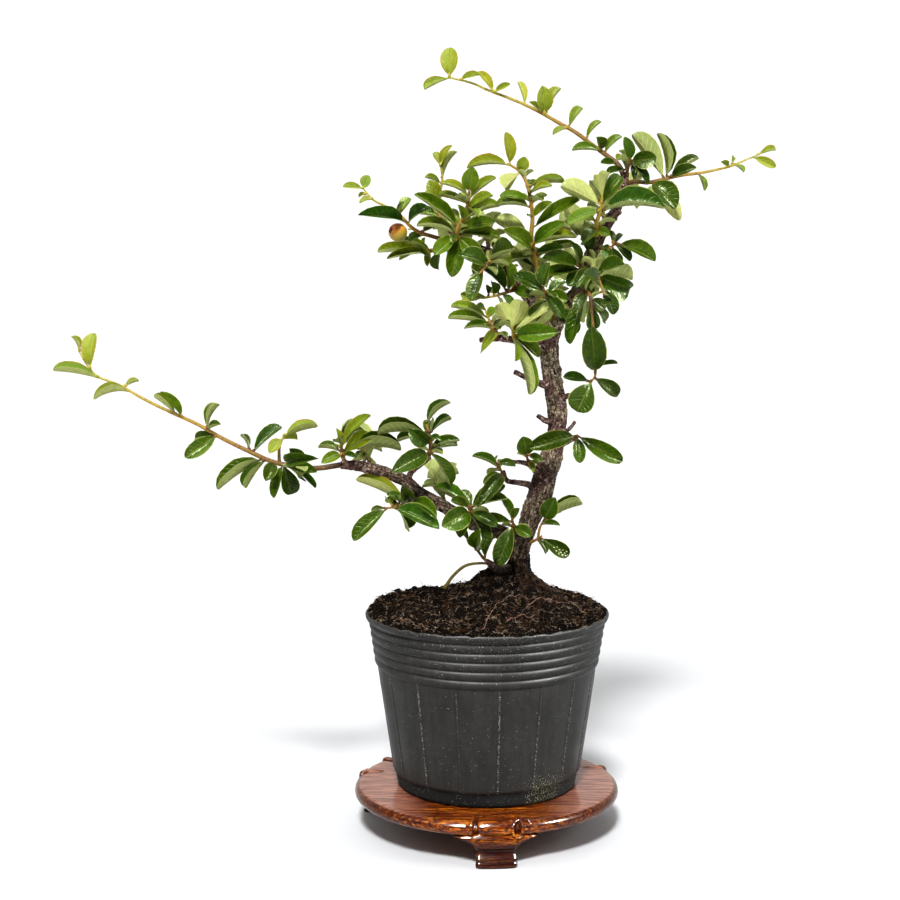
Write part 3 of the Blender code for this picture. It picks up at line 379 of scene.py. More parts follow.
def finished(piece, slot, *nodes):
    """The piece rides on the object and stands for these nodes, which are hidden. The slot is not used."""
    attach(piece, "root")
    if nodes:
        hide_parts(*nodes)
    print(piece.name, "has", len(piece.data.polygons), "faces")


print("mesh helpers ready")

# %% [markdown]
# ## Routes
# Stems and branches follow smooth curves through a few points. The curve used here goes through every point
# that it is given, which makes it easy to place.

# %% Routes
def clamped(value):
    """A value kept from 0 to 1."""
    return max(0.0, min(1.0, value))


def curve_value(a, b, c, d, t):
    """The value at the share t of the way from b to c, on a smooth curve through a, b, c and d."""
    return 0.5 * (2 * b + (c - a) * t + (2 * a - 5 * b + 4 * c - d) * t**2 + (3 * b - a - 3 * c + d) * t**3)


def smooth_route(route, steps):
    """Points of a smooth curve through the route, with steps between each two of its points."""
    ends = [route[0] + (route[0] - route[1]), *route, route[-1] + (route[-1] - route[-2])]
    points = []
    for four in zip(ends, ends[1:], ends[2:], ends[3:]):
        points += [curve_value(*four, step / steps) for step in range(steps)]
    return [*points, route[-1]]


def route_place(points, station):
    """The point and direction at a share of the way along a stem."""
    lengths = [(b - a).length for a, b in zip(points, points[1:])]
    reach = station * sum(lengths)
    for a, b, length in zip(points, points[1:], lengths):
        if reach <= length + 1e-9:
            return a.lerp(b, reach / length), (b - a).normalized()
        reach -= length
    return points[-1].copy(), (points[-1] - points[-2]).normalized()


print("a route through 3 points has", len(smooth_route([Vector((i, 0, 0)) for i in range(3)], 4)), "points")

# %% [markdown]
# ## Wood
# The trunk leans, narrows above its roots and bends to the right in the crown. Branches leave it at old
# buds, and several were pruned to stubs. Each limb is a route of (x, z, depth, radius).

# %% Trunk and branches
TRUNK = [
    (13.5, 103, 0, 8.2), (14, 116, 0, 8.2), (15, 126, 0, 7.4), (16, 134, 0, 5.4), (16.5, 141, 0, 4.3),
    (19, 150, -1, 4.4), (22, 160, -2, 5.2), (26, 170, -2, 6.0), (28.5, 180, -1, 5.8), (31.6, 190, 0, 5.3),
    (34, 202, 1, 4.5), (34, 214, 1, 4.8), (32, 225, 0, 4.7), (30.5, 236, 0, 4.6), (30.5, 247, 0, 4.2),
    (34, 257, 0, 3.9), (41, 266, -2, 3.6), (46, 276, -4, 3.4), (48.5, 285, -5, 3.3), (53, 295, -6, 3.0),
    (60, 307, -6, 2.5), (65, 318, -5, 2.3), (66, 328, -4, 1.9),
]
BRANCHES = {
    "low": [(19, 146, 0, 3.6), (6, 151, -3, 3.6), (-8, 156, -6, 3.3), (-22, 164, -8, 3.1),
        (-32, 170, -9, 3.0), (-41, 177, -10, 2.9), (-52, 181.5, -12, 2.8), (-62, 184, -13, 2.6),
        (-72, 185, -14, 2.0)],
    "left_crown": [(31, 250, 0, 3.2), (24, 262, -3, 3.0), (16, 272, -6, 2.8), (9, 281, -8, 2.6),
        (2, 288, -9, 2.5), (-8, 291.5, -9, 2.5), (-18, 293.5, -9, 2.4)],
    "pale_leaf_branch": [(31, 246, 0, 2.2), (22, 246, -12, 2.0), (14, 246.5, -21, 1.9),
        (6, 247.5, -26, 1.7), (-4, 246.5, -28, 1.3)],
    "left_twig": [(24, 172, 0, 1.9), (20, 175, -6, 1.6), (14, 176, -9, 1.3), (9.5, 177, -11, 1.2),
        (8, 182, -12, 0.9)],
    "left_fork": [(28, 176, 0, 2.0), (24, 182, -7, 1.7), (19, 185.5, -9, 1.3), (11, 186.5, -12, 0.9)],
    "upright_twig": [(-39, 174, -9, 1.6), (-37.5, 181, -11, 1.5), (-32, 185.5, -13, 1.4),
        (-28, 189, -14, 1.2)],
    "long_stub": [(31, 223, 0, 1.9), (24, 226, -5, 1.6), (19, 228, -6, 1.4), (13, 231, -7, 1.2)],
    "left_stub": [(33, 205, 0, 1.6), (28, 207, -5, 1.4), (24.5, 209.5, -6, 1.1)],
    "right_stub": [(36, 200, 0, 1.2), (40.5, 203, -3, 1.0), (43, 206.5, -3, 1.0)],
    "right_knob": [(35, 217, 0, 1.7), (40, 219.5, -3, 1.3)],
    "right_spur": [(34, 194, 0, 1.6), (40, 196.5, -5, 1.2), (43.5, 198, -7, 0.9)],
    "fruit_spur": [(57, 302, -6, 1.6), (60, 306, -12, 1.4), (64, 309, -15, 1.1)],
}
print(1 + len(BRANCHES), "limbs")

# %% Limbs as one skin
BARK_CELL = 0.45
LIMB_STEPS = 5
ROUND = 4


def limb_places(route):
    """Points and radii along a limb, close together."""
    points = smooth_route([on_front(*place[:3]) for place in route], LIMB_STEPS)
    radii = [radius.x for radius in smooth_route([Vector((place[3], 0, 0)) for place in route], LIMB_STEPS)]
    return points, radii


def limb_curve(name, points, radii):
    data = bpy.data.curves.new(name, "CURVE")
    data.dimensions = "3D"
    data.bevel_depth = MM
    data.bevel_resolution = ROUND
    data.use_fill_caps = True
    spline = data.splines.new("POLY")
    spline.points.add(len(points) - 1)
    for place, point, radius in zip(spline.points, points, radii):
        place.co = (*in_place(point), 1.0)
        place.radius = radius
    return plain_mesh(shown(name, data), name)


# A knob of old wood that the sucker springs from
SUCKER_FOOT = [(14, 131, 0, 3.6), (8, 131.5, -6, 3.0), (3.5, 133.3, -11, 2.3), (-0.5, 137, -13, 1.0)]
limbs = [limb_places(route) for route in [TRUNK, *BRANCHES.values(), SUCKER_FOOT]]
limb_skins = [limb_curve("limb", *limb) for limb in limbs]
with bpy.context.temp_override(active_object=limb_skins[0], selected_editable_objects=limb_skins):
    bpy.ops.object.join()
joined_limbs = limb_skins[0]
remesh = joined_limbs.modifiers.new("One skin", "REMESH")
remesh.mode = "VOXEL"
remesh.voxel_size = BARK_CELL * MM
soften = joined_limbs.modifiers.new("Soften joints", "SMOOTH")
soften.factor = 0.5
soften.iterations = 3
wood = plain_mesh(joined_limbs, "trunk_and_branches")
print("the limbs' skin has", len(wood.data.vertices), "points")

# %% [markdown]
# ## Bark
# Old cotoneaster bark is grey-brown, with short cracks along the limb, raised pores and knots. A pattern that
# follows the limb needs coordinates that follow it too, so each point of the wood looks up the nearest
# place on a limb and keeps its distance along that limb and its place round it. The relief comes from noise
# on those coordinates.

# %% Relief of the bark
limb_tree = KDTree(sum(len(points) for points, _ in limbs))
limb_records = []
for number, (points, radii) in enumerate(limbs):
    travelled = 40.0 * number
    for i, (point, radius) in enumerate(zip(points, radii)):
        ahead = (points[min(i + 1, len(points) - 1)] - points[max(i - 1, 0)]).normalized()
        travelled += (point - points[i - 1]).length if i else 0.0
        limb_tree.insert(in_place(point), len(limb_records))
        limb_records.append((point, ahead, travelled, radius))
limb_tree.balance()


def bark_place(co):
    """How far along its limb a point is, the direction from the limb's core, and the limb's radius."""
    _, found, _ = limb_tree.find(co)
    point, ahead, travelled, radius = limb_records[found]
    offset = Vector(co) / MM - POT_AXIS - point
    along = offset.dot(ahead)
    return travelled + along, offset - ahead * along, radius


def bark_height(grain, radius):
    """Cracks along the limb, pores and lumps, in millimetres."""
    size = min(1.0, radius / 4.5)
    crack = abs(noise.noise(Vector((grain.x * 0.35, grain.y * 0.75, grain.z * 0.75)) + Vector((3, 1, 2))))
    lumps = noise.noise(grain * 0.28)
    knots = max(0.0, noise.noise(Vector((grain.x * 0.5, grain.y * 0.6, grain.z * 0.6))) - 0.15)
    fine = noise.noise(grain * 1.7)
    rough = size * (1.4 * min(crack, 0.22) - 0.15 + 0.6 * lumps + 0.9 * knots)
    return rough + 0.26 * fine * min(1.0, radius / 2)


wood.data.attributes.new("grain", "FLOAT_VECTOR", "POINT")
wood.data.attributes.new("thick", "FLOAT", "POINT")
grain_data = wood.data.attributes["grain"].data
thick_data = wood.data.attributes["thick"].data
wood_normals = [vertex.normal.copy() for vertex in wood.data.vertices]
for vertex, normal in zip(wood.data.vertices, wood_normals):
    along, offset, radius = bark_place(vertex.co)
    grain = Vector((along, offset.x, offset.y + 0.6 * offset.z))
    grain_data[vertex.index].vector = grain
    thick_data[vertex.index].value = radius
    vertex.co += normal * bark_height(grain, radius) * MM
wood.data.shade_smooth()
print("the bark is up to", round(max(bark_height(item.vector, 6.0) for item in grain_data), 1), "mm high")

# %% Bark finish
def cells(vector, **settings):
    """Cells of one unit, each with the distance to its centre or to its edge, and a colour."""
    return add(home(vector), "ShaderNodeTexVoronoi", {"Vector": vector, "Scale": 1.0}, **settings).outputs


bark, tree, shader, coordinates = new_finish("old bark")
grain = add(tree, "ShaderNodeAttribute", attribute_name="grain").outputs["Vector"]
thick = named(tree, "thick")
streaks = cloud(stretched(grain, 0.4, 1.3, 1.3), 1.0, 5.0, 0.65)
patches = cloud(stretched(grain, 0.25, 0.4, 0.4), 1.0, 3.0)
cracks = cloud(stretched(grain, 0.55, 1.9, 1.9), 1.0, 4.0, 0.7)
pores = cells(stretched(grain, 0.55, 0.4, 0.4))
waves = add(tree, "ShaderNodeTexNoise", {"Vector": grain, "Scale": 0.5, "Detail": 2.0}).outputs["Color"]
wavy = stretched(vector_calc("ADD", grain, waves)[0], 0.62, 0.8, 0.8)
flake_gap = cells(wavy, feature="DISTANCE_TO_EDGE")["Distance"]
flake_shade = add(tree, "ShaderNodeSeparateColor", {"Color": cells(wavy)["Color"]}).outputs[0]
tone = shades(streaks, (0.33, 62, 49, 38), (0.44, 128, 110, 88), (0.53, 182, 163, 136), (0.65, 238, 224, 202))
rosy = shades(streaks, (0.30, 50, 32, 30), (0.45, 96, 70, 64), (0.62, 160, 132, 122), (0.75, 196, 172, 158))
flake_light = times(spread(flake_shade, 0.45, 0.95, 0.0, 0.75), spread(flake_gap, 0.06, 0.2))
tone = stain(tone, flake_light, (224, 206, 188))
tone = stain(tone, spread(flake_shade, 0.4, 0.1, 0.0, 0.55), (48, 35, 27))
rosy = stain(rosy, flake_light, (222, 196, 186))
young_wood = spread(thick, 3.4, 2.4)
tone = blend(calc("MAXIMUM", young_wood, spread(patches, 0.55, 0.68)), tone, rosy)
print("bark colours:", len(tree.nodes), "nodes")

# %% Cracks, pores and darkening near the soil
dark = spread(cracks, 0.46, 0.36)
tone = stain(tone, dark, (24, 17, 12), 0.8)
rings = cloud(stretched(grain, 1.5, 0.22, 0.22), 1.0, 3.0, 0.6)
ring_marks = spread(rings, 0.40, 0.33)
tone = stain(tone, ring_marks, (34, 25, 18), 0.55)
tone = stain(tone, spread(flake_gap, 0.09, 0.02, 0.0, 0.5), (28, 20, 15))
pore_spots = spread(pores["Distance"], 0.26, 0.16)
tone = stain(tone, pore_spots, (92, 44, 32), 0.6)
height_above = xyz(coordinates)["Z"]
old_foot = spread(height_above, 0.208, 0.168, 0.0, 0.5)
tone = stain(tone, old_foot, (44, 32, 22))
# The bark is darker just above the soil.
near_soil_dark = spread(height_above, 0.142, 0.132)
tone = stain(tone, near_soil_dark, (24, 16, 11), 0.85)
height = plus(times(streaks, 0.6), times(dark, -0.5))
height = minus(height, times(ring_marks, 0.35))
height = plus(height, times(flake_light, 0.35))
surface(shader, tone, relief(height, 0.0011), spread(streaks, 0.3, 0.7, 0.95, 0.7), 0.06)
wood.data.materials.clear()
wood.data.materials.append(bark)
finished(wood, "bark", "wood")

# %% [markdown]
# ## Leafy shoots
# A shoot is a stem with leaves. Each stem is written down as its route, the radii of its two ends, and its
# leaves. A leaf is its station along the stem, the place of its tip as the front view shows it, a step in
# depth, its width, and its turn: 0 degrees shows its upper side, 90 faces it up and 180 shows its underside.

# %% Shoots that the front shows
SHOOTS = {
    "shoot_low_tip": [([(-70, 185, -14), (-84, 183, -16), (-95, 184, -18), (-106, 186.5, -19),
        (-118, 192, -19), (-130, 198, -18), (-142, 205, -17), (-155, 211, -16), (-168, 217.5, -15),
        (-180, 224.5, -14), (-190, 228.5, -13), (-195, 234, -12), (-199, 241, -11)], 1.4, 0.5, [
        (0.93, -191, 250, 3, 8, 15), (1.0, -202.5, 248.5, -3, 2.6, 60), (0.89, -212, 232, -4, 4.4, 55),
        (0.78, -192.5, 217.5, -6, 3.2, 60), (0.80, -170, 226.5, 5, 2.4, 60), (0.58, -160, 221, -3, 4.6, 25),
        (0.60, -163, 219, 4, 2.4, 60), (0.49, -131, 215, 5, 3.0, 60), (0.49, -130.5, 205, -5, 3.0, 60),
        (0.45, -148.5, 188.5, -7, 8, 10), (0.44, -143, 196.5, 4, 4.0, 50), (0.33, -121, 199.5, 5, 2.8, 60),
        (0.32, -100.5, 203.5, 8, 7.0, 40), (0.28, -133, 172.5, -8, 4.4, 60), (0.27, -119, 173, -3, 4.0, 50),
        (0.24, -109, 176.5, -10, 6.8, 0), (0.21, -105, 168, -4, 5.2, 20), (0.21, -96, 170, -1, 9, 10),
        (0.22, -92, 178, -14, 8.5, 165), (0.20, -83.5, 181, -8, 5.4, 30), (0.18, -84.5, 173, 2, 3.4, 30),
        (0.16, -97, 193, -9, 8.5, 35), (0.20, -83, 188, -11, 6.5, 30), (0.14, -96, 190, 7, 7, 60)]),
        ([(-102, 185.5, -18.5), (-102, 193, -17), (-100, 199, -16)], 0.9, 0.6, [
        (1.0, -83, 204.2, 4, 4.2, 60), (0.9, -107, 190.5, -5, 6, 20), (0.9, -93, 197.5, 8, 5, 50)])],
    "shoot_low_mid": [([(-69, 185, -13.5), (-71.5, 190, -15), (-71, 196, -15)], 1.2, 0.7, [
        (0.8, -74, 203, -4, 3.8, 30), (1.0, -57, 209.5, 1, 5.4, 25), (0.9, -60.5, 201.5, 7, 3.6, 60),
        (1.0, -64, 207, 9, 2.6, 60), (0.6, -42, 192.5, 6, 3.8, 65), (0.3, -81.5, 172.5, -11, 10.5, 5),
        (0.5, -81.5, 185.5, -9, 5.6, 20), (0.6, -83, 193.5, 4, 3.6, 60), (0.45, -64, 188, -5, 3, 50),
        (0.5, -57, 199.5, 2, 8, 20)])],
    "shoot_low_upright": [([(-29, 187.5, -13.6), (-28, 193, -15), (-28.5, 200, -16),
        (-30, 205, -16)], 1.0, 0.6, [
        (1.0, -18, 216, 4, 3.8, 55), (0.72, -17.5, 207.7, 6, 3.4, 55), (0.75, -54, 200.5, -3, 4.2, 60),
        (0.45, -38.5, 202.5, -9, 8.5, 5), (0.22, -47, 181, -10, 9.5, 20), (0.35, -13.5, 197, -3, 4.4, 50),
        (0.3, -14.5, 194.5, 6, 3.8, 60), (0.66, -22.5, 196, -5, 3, 50), (0.25, -18.5, 174.5, 5, 6.5, 40),
        (0.7, -44, 196.5, 8, 3.6, 50), (0.5, -26, 206, 12, 5, 40)])],
    "shoot_low_under": [([(-34, 170, -9), (-40, 165.5, -14), (-46, 163.5, -17),
        (-50, 163, -18)], 0.9, 0.6, [
        (0.95, -66, 146.5, -6, 8, 20), (0.8, -23.5, 152.5, -10, 9.5, 25), (1.0, -57, 161.2, 4, 2.0, 60),
        (0.6, -50, 166, 6, 2.6, 60), (0.4, -64.5, 177.5, 5, 3.8, 50), (0.5, -49.5, 170, -2, 5, 40),
        (0.3, -25, 157.5, -13, 7, 40), (0.35, -42, 174.5, -9, 6.5, 20), (0.7, -40, 152.5, 8, 6, 40)])],
    "shoot_low_bud": [([(-8, 156.5, -6), (-8.5, 161, -12), (-8, 163.5, -14)], 1.1, 0.7, [
        (0.8, -22.5, 154, -12, 11.5, 0), (0.8, -13.5, 148, -7, 7.5, 25), (0.9, 9, 174.5, -1, 7.5, 25),
        (1.0, 10, 168, -9, 5.5, 40), (0.9, -13, 172, 6, 5.5, 40), (0.9, -26.5, 172.8, 9, 6, 50),
        (0.7, 5, 153.5, -7, 6.5, 30), (0.6, -1, 142.5, -5, 6.5, 40), (0.9, -18, 167, -1, 5, 30)])],
    "shoot_low_node": [([(14, 149, -1.5), (13, 154, -9), (12.5, 157, -12)], 1.0, 0.7, [
        (0.8, 5.5, 134, -5, 9.5, 15), (0.7, 22, 148.5, -7, 6, 20), (1.0, 6.5, 168.5, 4, 5, 30),
        (0.9, -2, 158, -4, 5, 30), (1.0, 16, 163, -3, 4, 30)])],
    "shoot_left_twig": [([(9.3, 178, -11.2), (7, 181.5, -15), (4, 186, -17)], 0.8, 0.5, [
        (0.3, 12, 155.5, -3, 10, 5), (0.3, -5, 163.5, -7, 7.5, 20), (0.3, -2, 175.3, 4, 2.6, 60),
        (0.7, -7.5, 189.3, -2, 4, 50), (1.0, 3, 188, 5, 4, 40), (0.9, 14, 184, -2, 4.5, 40)])],
    "shoot_left_fork": [([(20.5, 185, -8.6), (19.5, 188.5, -12), (20, 190, -14)], 0.8, 0.6, [
        (0.8, 17.5, 199, -5, 9, 10), (0.9, 27, 186, -6, 4, 40)])],
    "shoot_trunk_right": [([(42.5, 197.5, -6.5), (44, 199, -10), (44, 199.5, -12)], 0.8, 0.6, [
        (0.9, 20, 193, -6, 9, 20), (0.8, 66.5, 186.5, -4, 8.5, 10), (0.6, 45.5, 185.5, -6, 6.6, 5)])],
    "shoot_base_right": [([(19, 144.5, 0), (25, 147.5, -7), (27, 149, -9)], 0.9, 0.6, [
        (0.9, 40.5, 139, -3, 7.5, 15), (0.7, 29, 140, -5, 2.8, 50), (0.8, 27.5, 143.5, 3, 2.4, 50)]),
        ([(25, 146.9, -7), (26, 153, -9), (28, 157, -9)], 0.8, 0.6, [
        (1.0, 33.5, 168.5, -4, 9, 15), (0.9, 47, 165.5, 4, 2.6, 60), (0.8, 36, 154.3, -4, 3.2, 50),
        (0.9, 37, 161.5, 5, 4, 40)])],
    "sucker": [([(12.5, 133.5, -2), (5, 134, -11), (-1, 137, -13), (-5, 142, -13),
        (-10, 147, -13)], 1.1, 0.6, [
        (0.95, -13.5, 151.5, 3, 3.4, 50), (0.8, -3.5, 152.5, -5, 7, 20), (0.6, 4, 149.5, -4, 5.5, 40),
        (0.75, 0, 147, 4, 5, 30)]),
        ([(3, 134.8, -11.7), (-4, 135.2, -12), (-11, 133.8, -12), (-17, 128.5, -12),
        (-21, 122.5, -12)], 0.6, 1.1, [])],
    "shoot_hanging": [([(41, 266, -2), (43.5, 270, -11), (46.5, 271, -19), (49.5, 268.5, -25),
        (50.5, 261, -28), (51.5, 250, -29), (52.5, 238, -29), (52.5, 229, -28), (50, 226, -28)], 1.0, 0.7, [
        (0.93, 50.3, 253.5, -4, 12, 0), (0.98, 44, 211, -3, 13, 5), (1.0, 36.8, 228.5, -2, 5, 25),
        (0.96, 64, 219.5, 3, 7, 15), (0.88, 63.5, 235, 1, 2.6, 40), (0.42, 51, 252, -5, 7, 10),
        (0.40, 57, 261.5, 0, 6, 25), (0.45, 56.5, 255, 4, 5, 40), (0.30, 40, 244.5, -5, 7, 25),
        (0.34, 46.8, 255, 4, 3.2, 50), (0.36, 43, 258, -9, 6, 30)])],
    "shoot_pale": [([(13, 246.5, -21.5), (12.5, 249, -28), (12, 252, -31)], 1.1, 0.8, [
        (0.9, 5.5, 264.5, -2, 8.5, 175), (1.0, 16.5, 266, -1, 9, 175), (0.8, 31.5, 262.3, -4, 10.5, 172),
        (0.6, 34.5, 250.5, -9, 9, 10), (0.5, 25, 238, -4, 6.5, 25), (0.5, 21, 219.5, -4, 3.2, 55),
        (0.6, 13.5, 236, -3, 4.2, 40)])],
    "shoot_pale_end": [([(5, 247.5, -26.5), (3, 252, -31), (0.5, 257, -32), (-1, 261, -31)], 0.9, 0.6, [
        (0.2, -3.5, 240, -4, 5, 15), (0.15, -6, 248.8, -6, 2.6, 50), (0.4, -11.5, 252.3, -3, 3.6, 40),
        (0.6, -19.5, 257.5, -3, 4, 50), (0.8, -18, 263.2, -1, 4.6, 45), (1.0, -6, 263, 4, 4, 45),
        (0.8, 4, 262, 4, 5, 40)])],
    "shoot_mid_left": [([(16, 272, -6), (9.5, 270, -15), (3, 268, -19), (-2, 267, -20)], 1.0, 0.5, [
        (1.0, -13.3, 269, -2, 4.8, 10), (0.9, -12.5, 265.3, 3, 4.2, 40), (0.45, -9.8, 286.5, -4, 7.5, 30),
        (0.45, 8.5, 285.5, -4, 6, 30), (0.6, 12, 262.5, -4, 4.5, 40), (0.8, 2, 275, 7, 6, 40),
        (0.3, 22, 268, -6, 7, 30)])],
    "shoot_mid_front": [([(33, 256, 0), (31, 263, -18), (28, 269, -32), (27, 272, -38)], 1.1, 0.6, [
        (0.9, 12, 278, -3, 7.5, 30), (1.0, 30, 284.5, -2, 7, 40), (0.8, 39, 266, -5, 8, 15),
        (0.7, 22, 256.5, -5, 7, 25), (0.85, 36, 257, -2, 7, 20), (0.6, 18, 272, 5, 6, 40),
        (0.7, 38, 275, 5, 6, 40), (0.5, 44, 250, -3, 7.5, 25)])],
    "shoot_left_fan": [([(-13, 292.5, -9), (-15, 299, -19), (-12, 306, -24), (-9.5, 313, -26),
        (-9, 318, -27)], 1.3, 0.8, [
        (1.0, -7.2, 330.5, -3, 8.5, 10), (0.92, 4, 325.5, 1, 4.2, 40), (0.97, -22.5, 322.7, -2, 3.8, 45),
        (0.85, -24, 317, 4, 3, 50), (0.75, 2.5, 316.8, -3, 5.2, 30), (0.62, -14.5, 312.5, -5, 4.5, 20),
        (0.45, -35.5, 317.6, -5, 5.4, 40), (0.35, -34.5, 302.5, -4, 5, 55), (0.55, 6, 312, 3, 5.5, 40),
        (0.4, 3.5, 304, -4, 6, 30), (0.3, 6, 296, -6, 6, 40), (0.3, -3, 285.5, -8, 8.5, 10),
        (0.28, -26, 288, -6, 7.5, 20), (0.22, -17.5, 277.2, -5, 8.8, 5), (0.5, -20, 309, 7, 5, 40),
        (0.25, -10, 286.5, 6, 6, 30)])],
    "shoot_left_upright": [([(-13, 292.6, -9), (-19.5, 301, -4), (-24, 309, -1), (-23.5, 317, 1),
        (-22, 324, 1), (-22.7, 331, 1)], 1.0, 0.6, [
        (1.0, -17.3, 341, -3, 4, 25), (1.0, -26, 337.5, 3, 4, 25), (0.86, -15, 338, 4, 2.2, 50),
        (0.8, -30.5, 325.7, -3, 2.6, 50), (0.55, -28.5, 324.2, 3, 7.5, 10), (0.4, -33, 308, 5, 5.5, 40),
        (0.45, -14, 305, 8, 5.5, 40), (0.6, -31, 316, 6, 5, 40)])],
    "shoot_left_tip": [([(-15, 293, -9), (-25, 296.5, -12), (-33, 299, -14), (-38, 302.5, -15),
        (-42, 307, -15), (-48, 311, -15), (-55, 314.5, -15), (-60, 320, -15)], 1.1, 0.5, [
        (1.0, -70, 321, -2, 3.6, 35), (1.0, -57.3, 326.5, 0, 5.5, 10), (0.94, -62.3, 316, 3, 2.6, 45),
        (0.88, -62, 313, -3, 3, 45), (0.52, -62.7, 307.5, -5, 6.5, 25), (0.5, -27.8, 310.6, -5, 6.2, 40),
        (0.6, -37.5, 315.5, 4, 5.5, 30), (0.35, -20, 304.5, -5, 5.5, 40), (0.3, -38, 294.5, 4, 5, 45),
        (0.6, -40.5, 314, -3, 1.6, 50)]),
        ([(-36, 301, -14.6), (-38.5, 300.4, -17)], 0.6, 0.5, [])],
    "shoot_left_low": [([(-17, 293.3, -9), (-23, 290.5, -2), (-30, 289.5, 3), (-35, 289.5, 4)], 0.9, 0.5, [
        (0.8, -53.5, 289.7, -2, 4.4, 40), (0.7, -49, 286.3, 4, 3.4, 30), (1.0, -43, 285.4, -4, 3.4, 25),
        (0.9, -27.5, 286.8, -5, 3.2, 30), (0.6, -45.5, 293.3, 4, 3, 55), (0.4, -24, 281, 6, 6, 30)])],
    "shoot_middle": [([(28, 256, -1.5), (25.5, 270, -5), (23.5, 284, -12), (21, 296, -18), (21.5, 306, -21),
        (20.5, 315, -22), (18.5, 323, -22), (15, 328.5, -22), (10.5, 331.5, -22)], 1.4, 0.7, [
        (1.0, 8.3, 347.3, 0, 5.8, 15), (1.0, -10.3, 330, -2, 4.4, 45), (0.93, 17.7, 335.5, -2, 6.2, 5),
        (0.93, 8, 320.3, -5, 8.5, 165), (0.76, 5.5, 316.5, -4, 4.6, 35), (0.72, 3.3, 311.8, 3, 5, 45),
        (0.80, 31, 321.5, -3, 3.6, 45), (0.84, 37, 323.2, 3, 3.4, 55), (0.74, 28.5, 317, 4, 2.8, 55),
        (0.66, 31, 313.7, -3, 4.4, 35), (0.60, 44.3, 314.7, 4, 6.2, 30), (0.50, 37, 304, -5, 6.4, 25),
        (0.46, 7.2, 300.3, -6, 8, 20), (0.52, 3, 304.7, 4, 8.5, 160), (0.50, 43, 296.8, -3, 4, 35),
        (0.44, 36.5, 291.8, -4, 4.2, 35), (0.42, 42.5, 292.8, 4, 2.6, 50), (0.42, 6, 282, -2, 5, 40),
        (0.34, 9.5, 286.5, 5, 4, 40), (0.30, 35, 278, 6, 6, 40), (0.26, 12, 276, 8, 6, 40)])],
    "shoot_right_dark": [([(47.5, 281, -4.5), (46, 281, -12), (44.5, 283, -16)], 1.0, 0.7, [
        (0.9, 26.3, 286.5, -3, 7.8, 35), (0.5, 69, 271.5, -8, 12.5, 15), (0.7, 24.5, 278, -6, 5.6, 30),
        (0.6, 38.5, 273, -5, 7, 20), (1.0, 40, 294, -3, 4, 40), (0.6, 48, 268, -3, 6, 20)])],
    "shoot_right_mid": [([(52, 291, -5.5), (58, 291.5, -10), (62, 293.5, -11)], 0.8, 0.5, [
        (1.0, 81.2, 285, -2, 8.2, 30), (0.7, 58, 284.5, -5, 5.6, 20), (0.8, 62.5, 284.5, 3, 5.4, 15),
        (0.95, 69, 285, -3, 4.8, 20), (0.9, 65, 298, 5, 3, 40)])],
    "shoot_right_fan": [([(53, 296, -6), (52.5, 303, -15), (54.3, 310, -20), (55, 316, -22)], 1.3, 0.8, [
        (1.0, 52.5, 327, -2, 6.6, 165), (1.0, 58.3, 327.8, -4, 5.4, 160), (0.85, 35.3, 321.8, -5, 9.5, 168),
        (0.85, 64, 326, 5, 7.2, 20), (0.75, 38.2, 302.8, -5, 6.6, 40), (0.35, 46, 293.5, -5, 6.2, 25),
        (0.25, 49, 290, 4, 6, 30), (0.75, 85.3, 311, -7, 9.5, 40), (0.3, 59, 297.5, -3, 4.5, 20),
        (0.5, 43, 306, 5, 5, 40)])],
    "shoot_right_spur": [([(65.9, 325, -4.4), (67.5, 330.5, -9), (68.5, 333.5, -11)], 0.9, 0.7, [
        (1.0, 81, 335, -5, 9, 5), (1.0, 65.3, 345, -2, 5.6, 15), (0.9, 76.5, 321.8, 3, 4.4, 40),
        (0.5, 57, 327, 5, 4, 40)])],
    "shoot_top": [([(65.8, 324, -4), (63, 331, 0), (57, 336, 4), (50, 341, 7), (42, 347, 9),
        (34, 351.5, 10), (26, 356, 11), (18, 360, 12), (9, 363.7, 12), (0, 367, 12), (-8, 370.5, 12),
        (-18.5, 373, 12)], 1.3, 0.6, [
        (1.0, -18, 387.3, 2, 8.8, 10), (1.0, -30.7, 367.3, -2, 4.2, 35), (0.95, -4, 374.4, -3, 3.8, 40),
        (0.78, -5.3, 375.7, 2, 4.6, 25), (0.78, 10.6, 370, -3, 3.2, 20), (0.52, 25.8, 369.3, -3, 8.2, 10),
        (0.51, 34.8, 368, 3, 4.2, 35), (0.55, 19.5, 361.5, 1, 3, 45), (0.39, 45.3, 358.6, 3, 5.2, 40),
        (0.39, 31, 345.8, -4, 3.6, 45), (0.29, 54.3, 352.2, 3, 3.6, 40), (0.20, 52, 345, -4, 6.4, 25),
        (0.18, 64.3, 345, 4, 4.6, 35), (0.20, 40.2, 338.5, -5, 4.6, 40), (0.10, 54, 332.5, -4, 4, 30),
        (0.62, 14, 371, 6, 4, 40)])],
    "shoot_right": [([(65.7, 322.5, -4.6), (71, 323.5, -8), (77, 323, -10), (84, 324.5, -10),
        (93, 326.5, -8), (101, 327.5, -6), (109, 329, -4), (117, 331, -2), (124, 334, 0),
        (129, 336, 1)], 1.1, 0.5, [
        (1.0, 138.3, 338.6, 2, 3, 45), (0.97, 138.3, 330.3, -3, 4.6, 15), (0.82, 123, 327.8, -3, 2.8, 45),
        (0.78, 111.8, 333, 0, 3.2, 30), (0.80, 118.8, 334.3, 4, 2.4, 45), (0.55, 104.2, 319, -2, 2.6, 45),
        (0.34, 100.3, 330.2, -4, 5.6, 30), (0.34, 101.3, 335, 3, 5, 45), (0.32, 81.3, 346.8, 4, 2.8, 50),
        (0.30, 69.3, 346.3, -2, 9.5, 155), (0.20, 90.5, 310.5, -7, 11.5, 15),
        (0.24, 92.8, 304.7, 1, 8, 170), (0.08, 74, 332, 6, 5, 40)])],
}
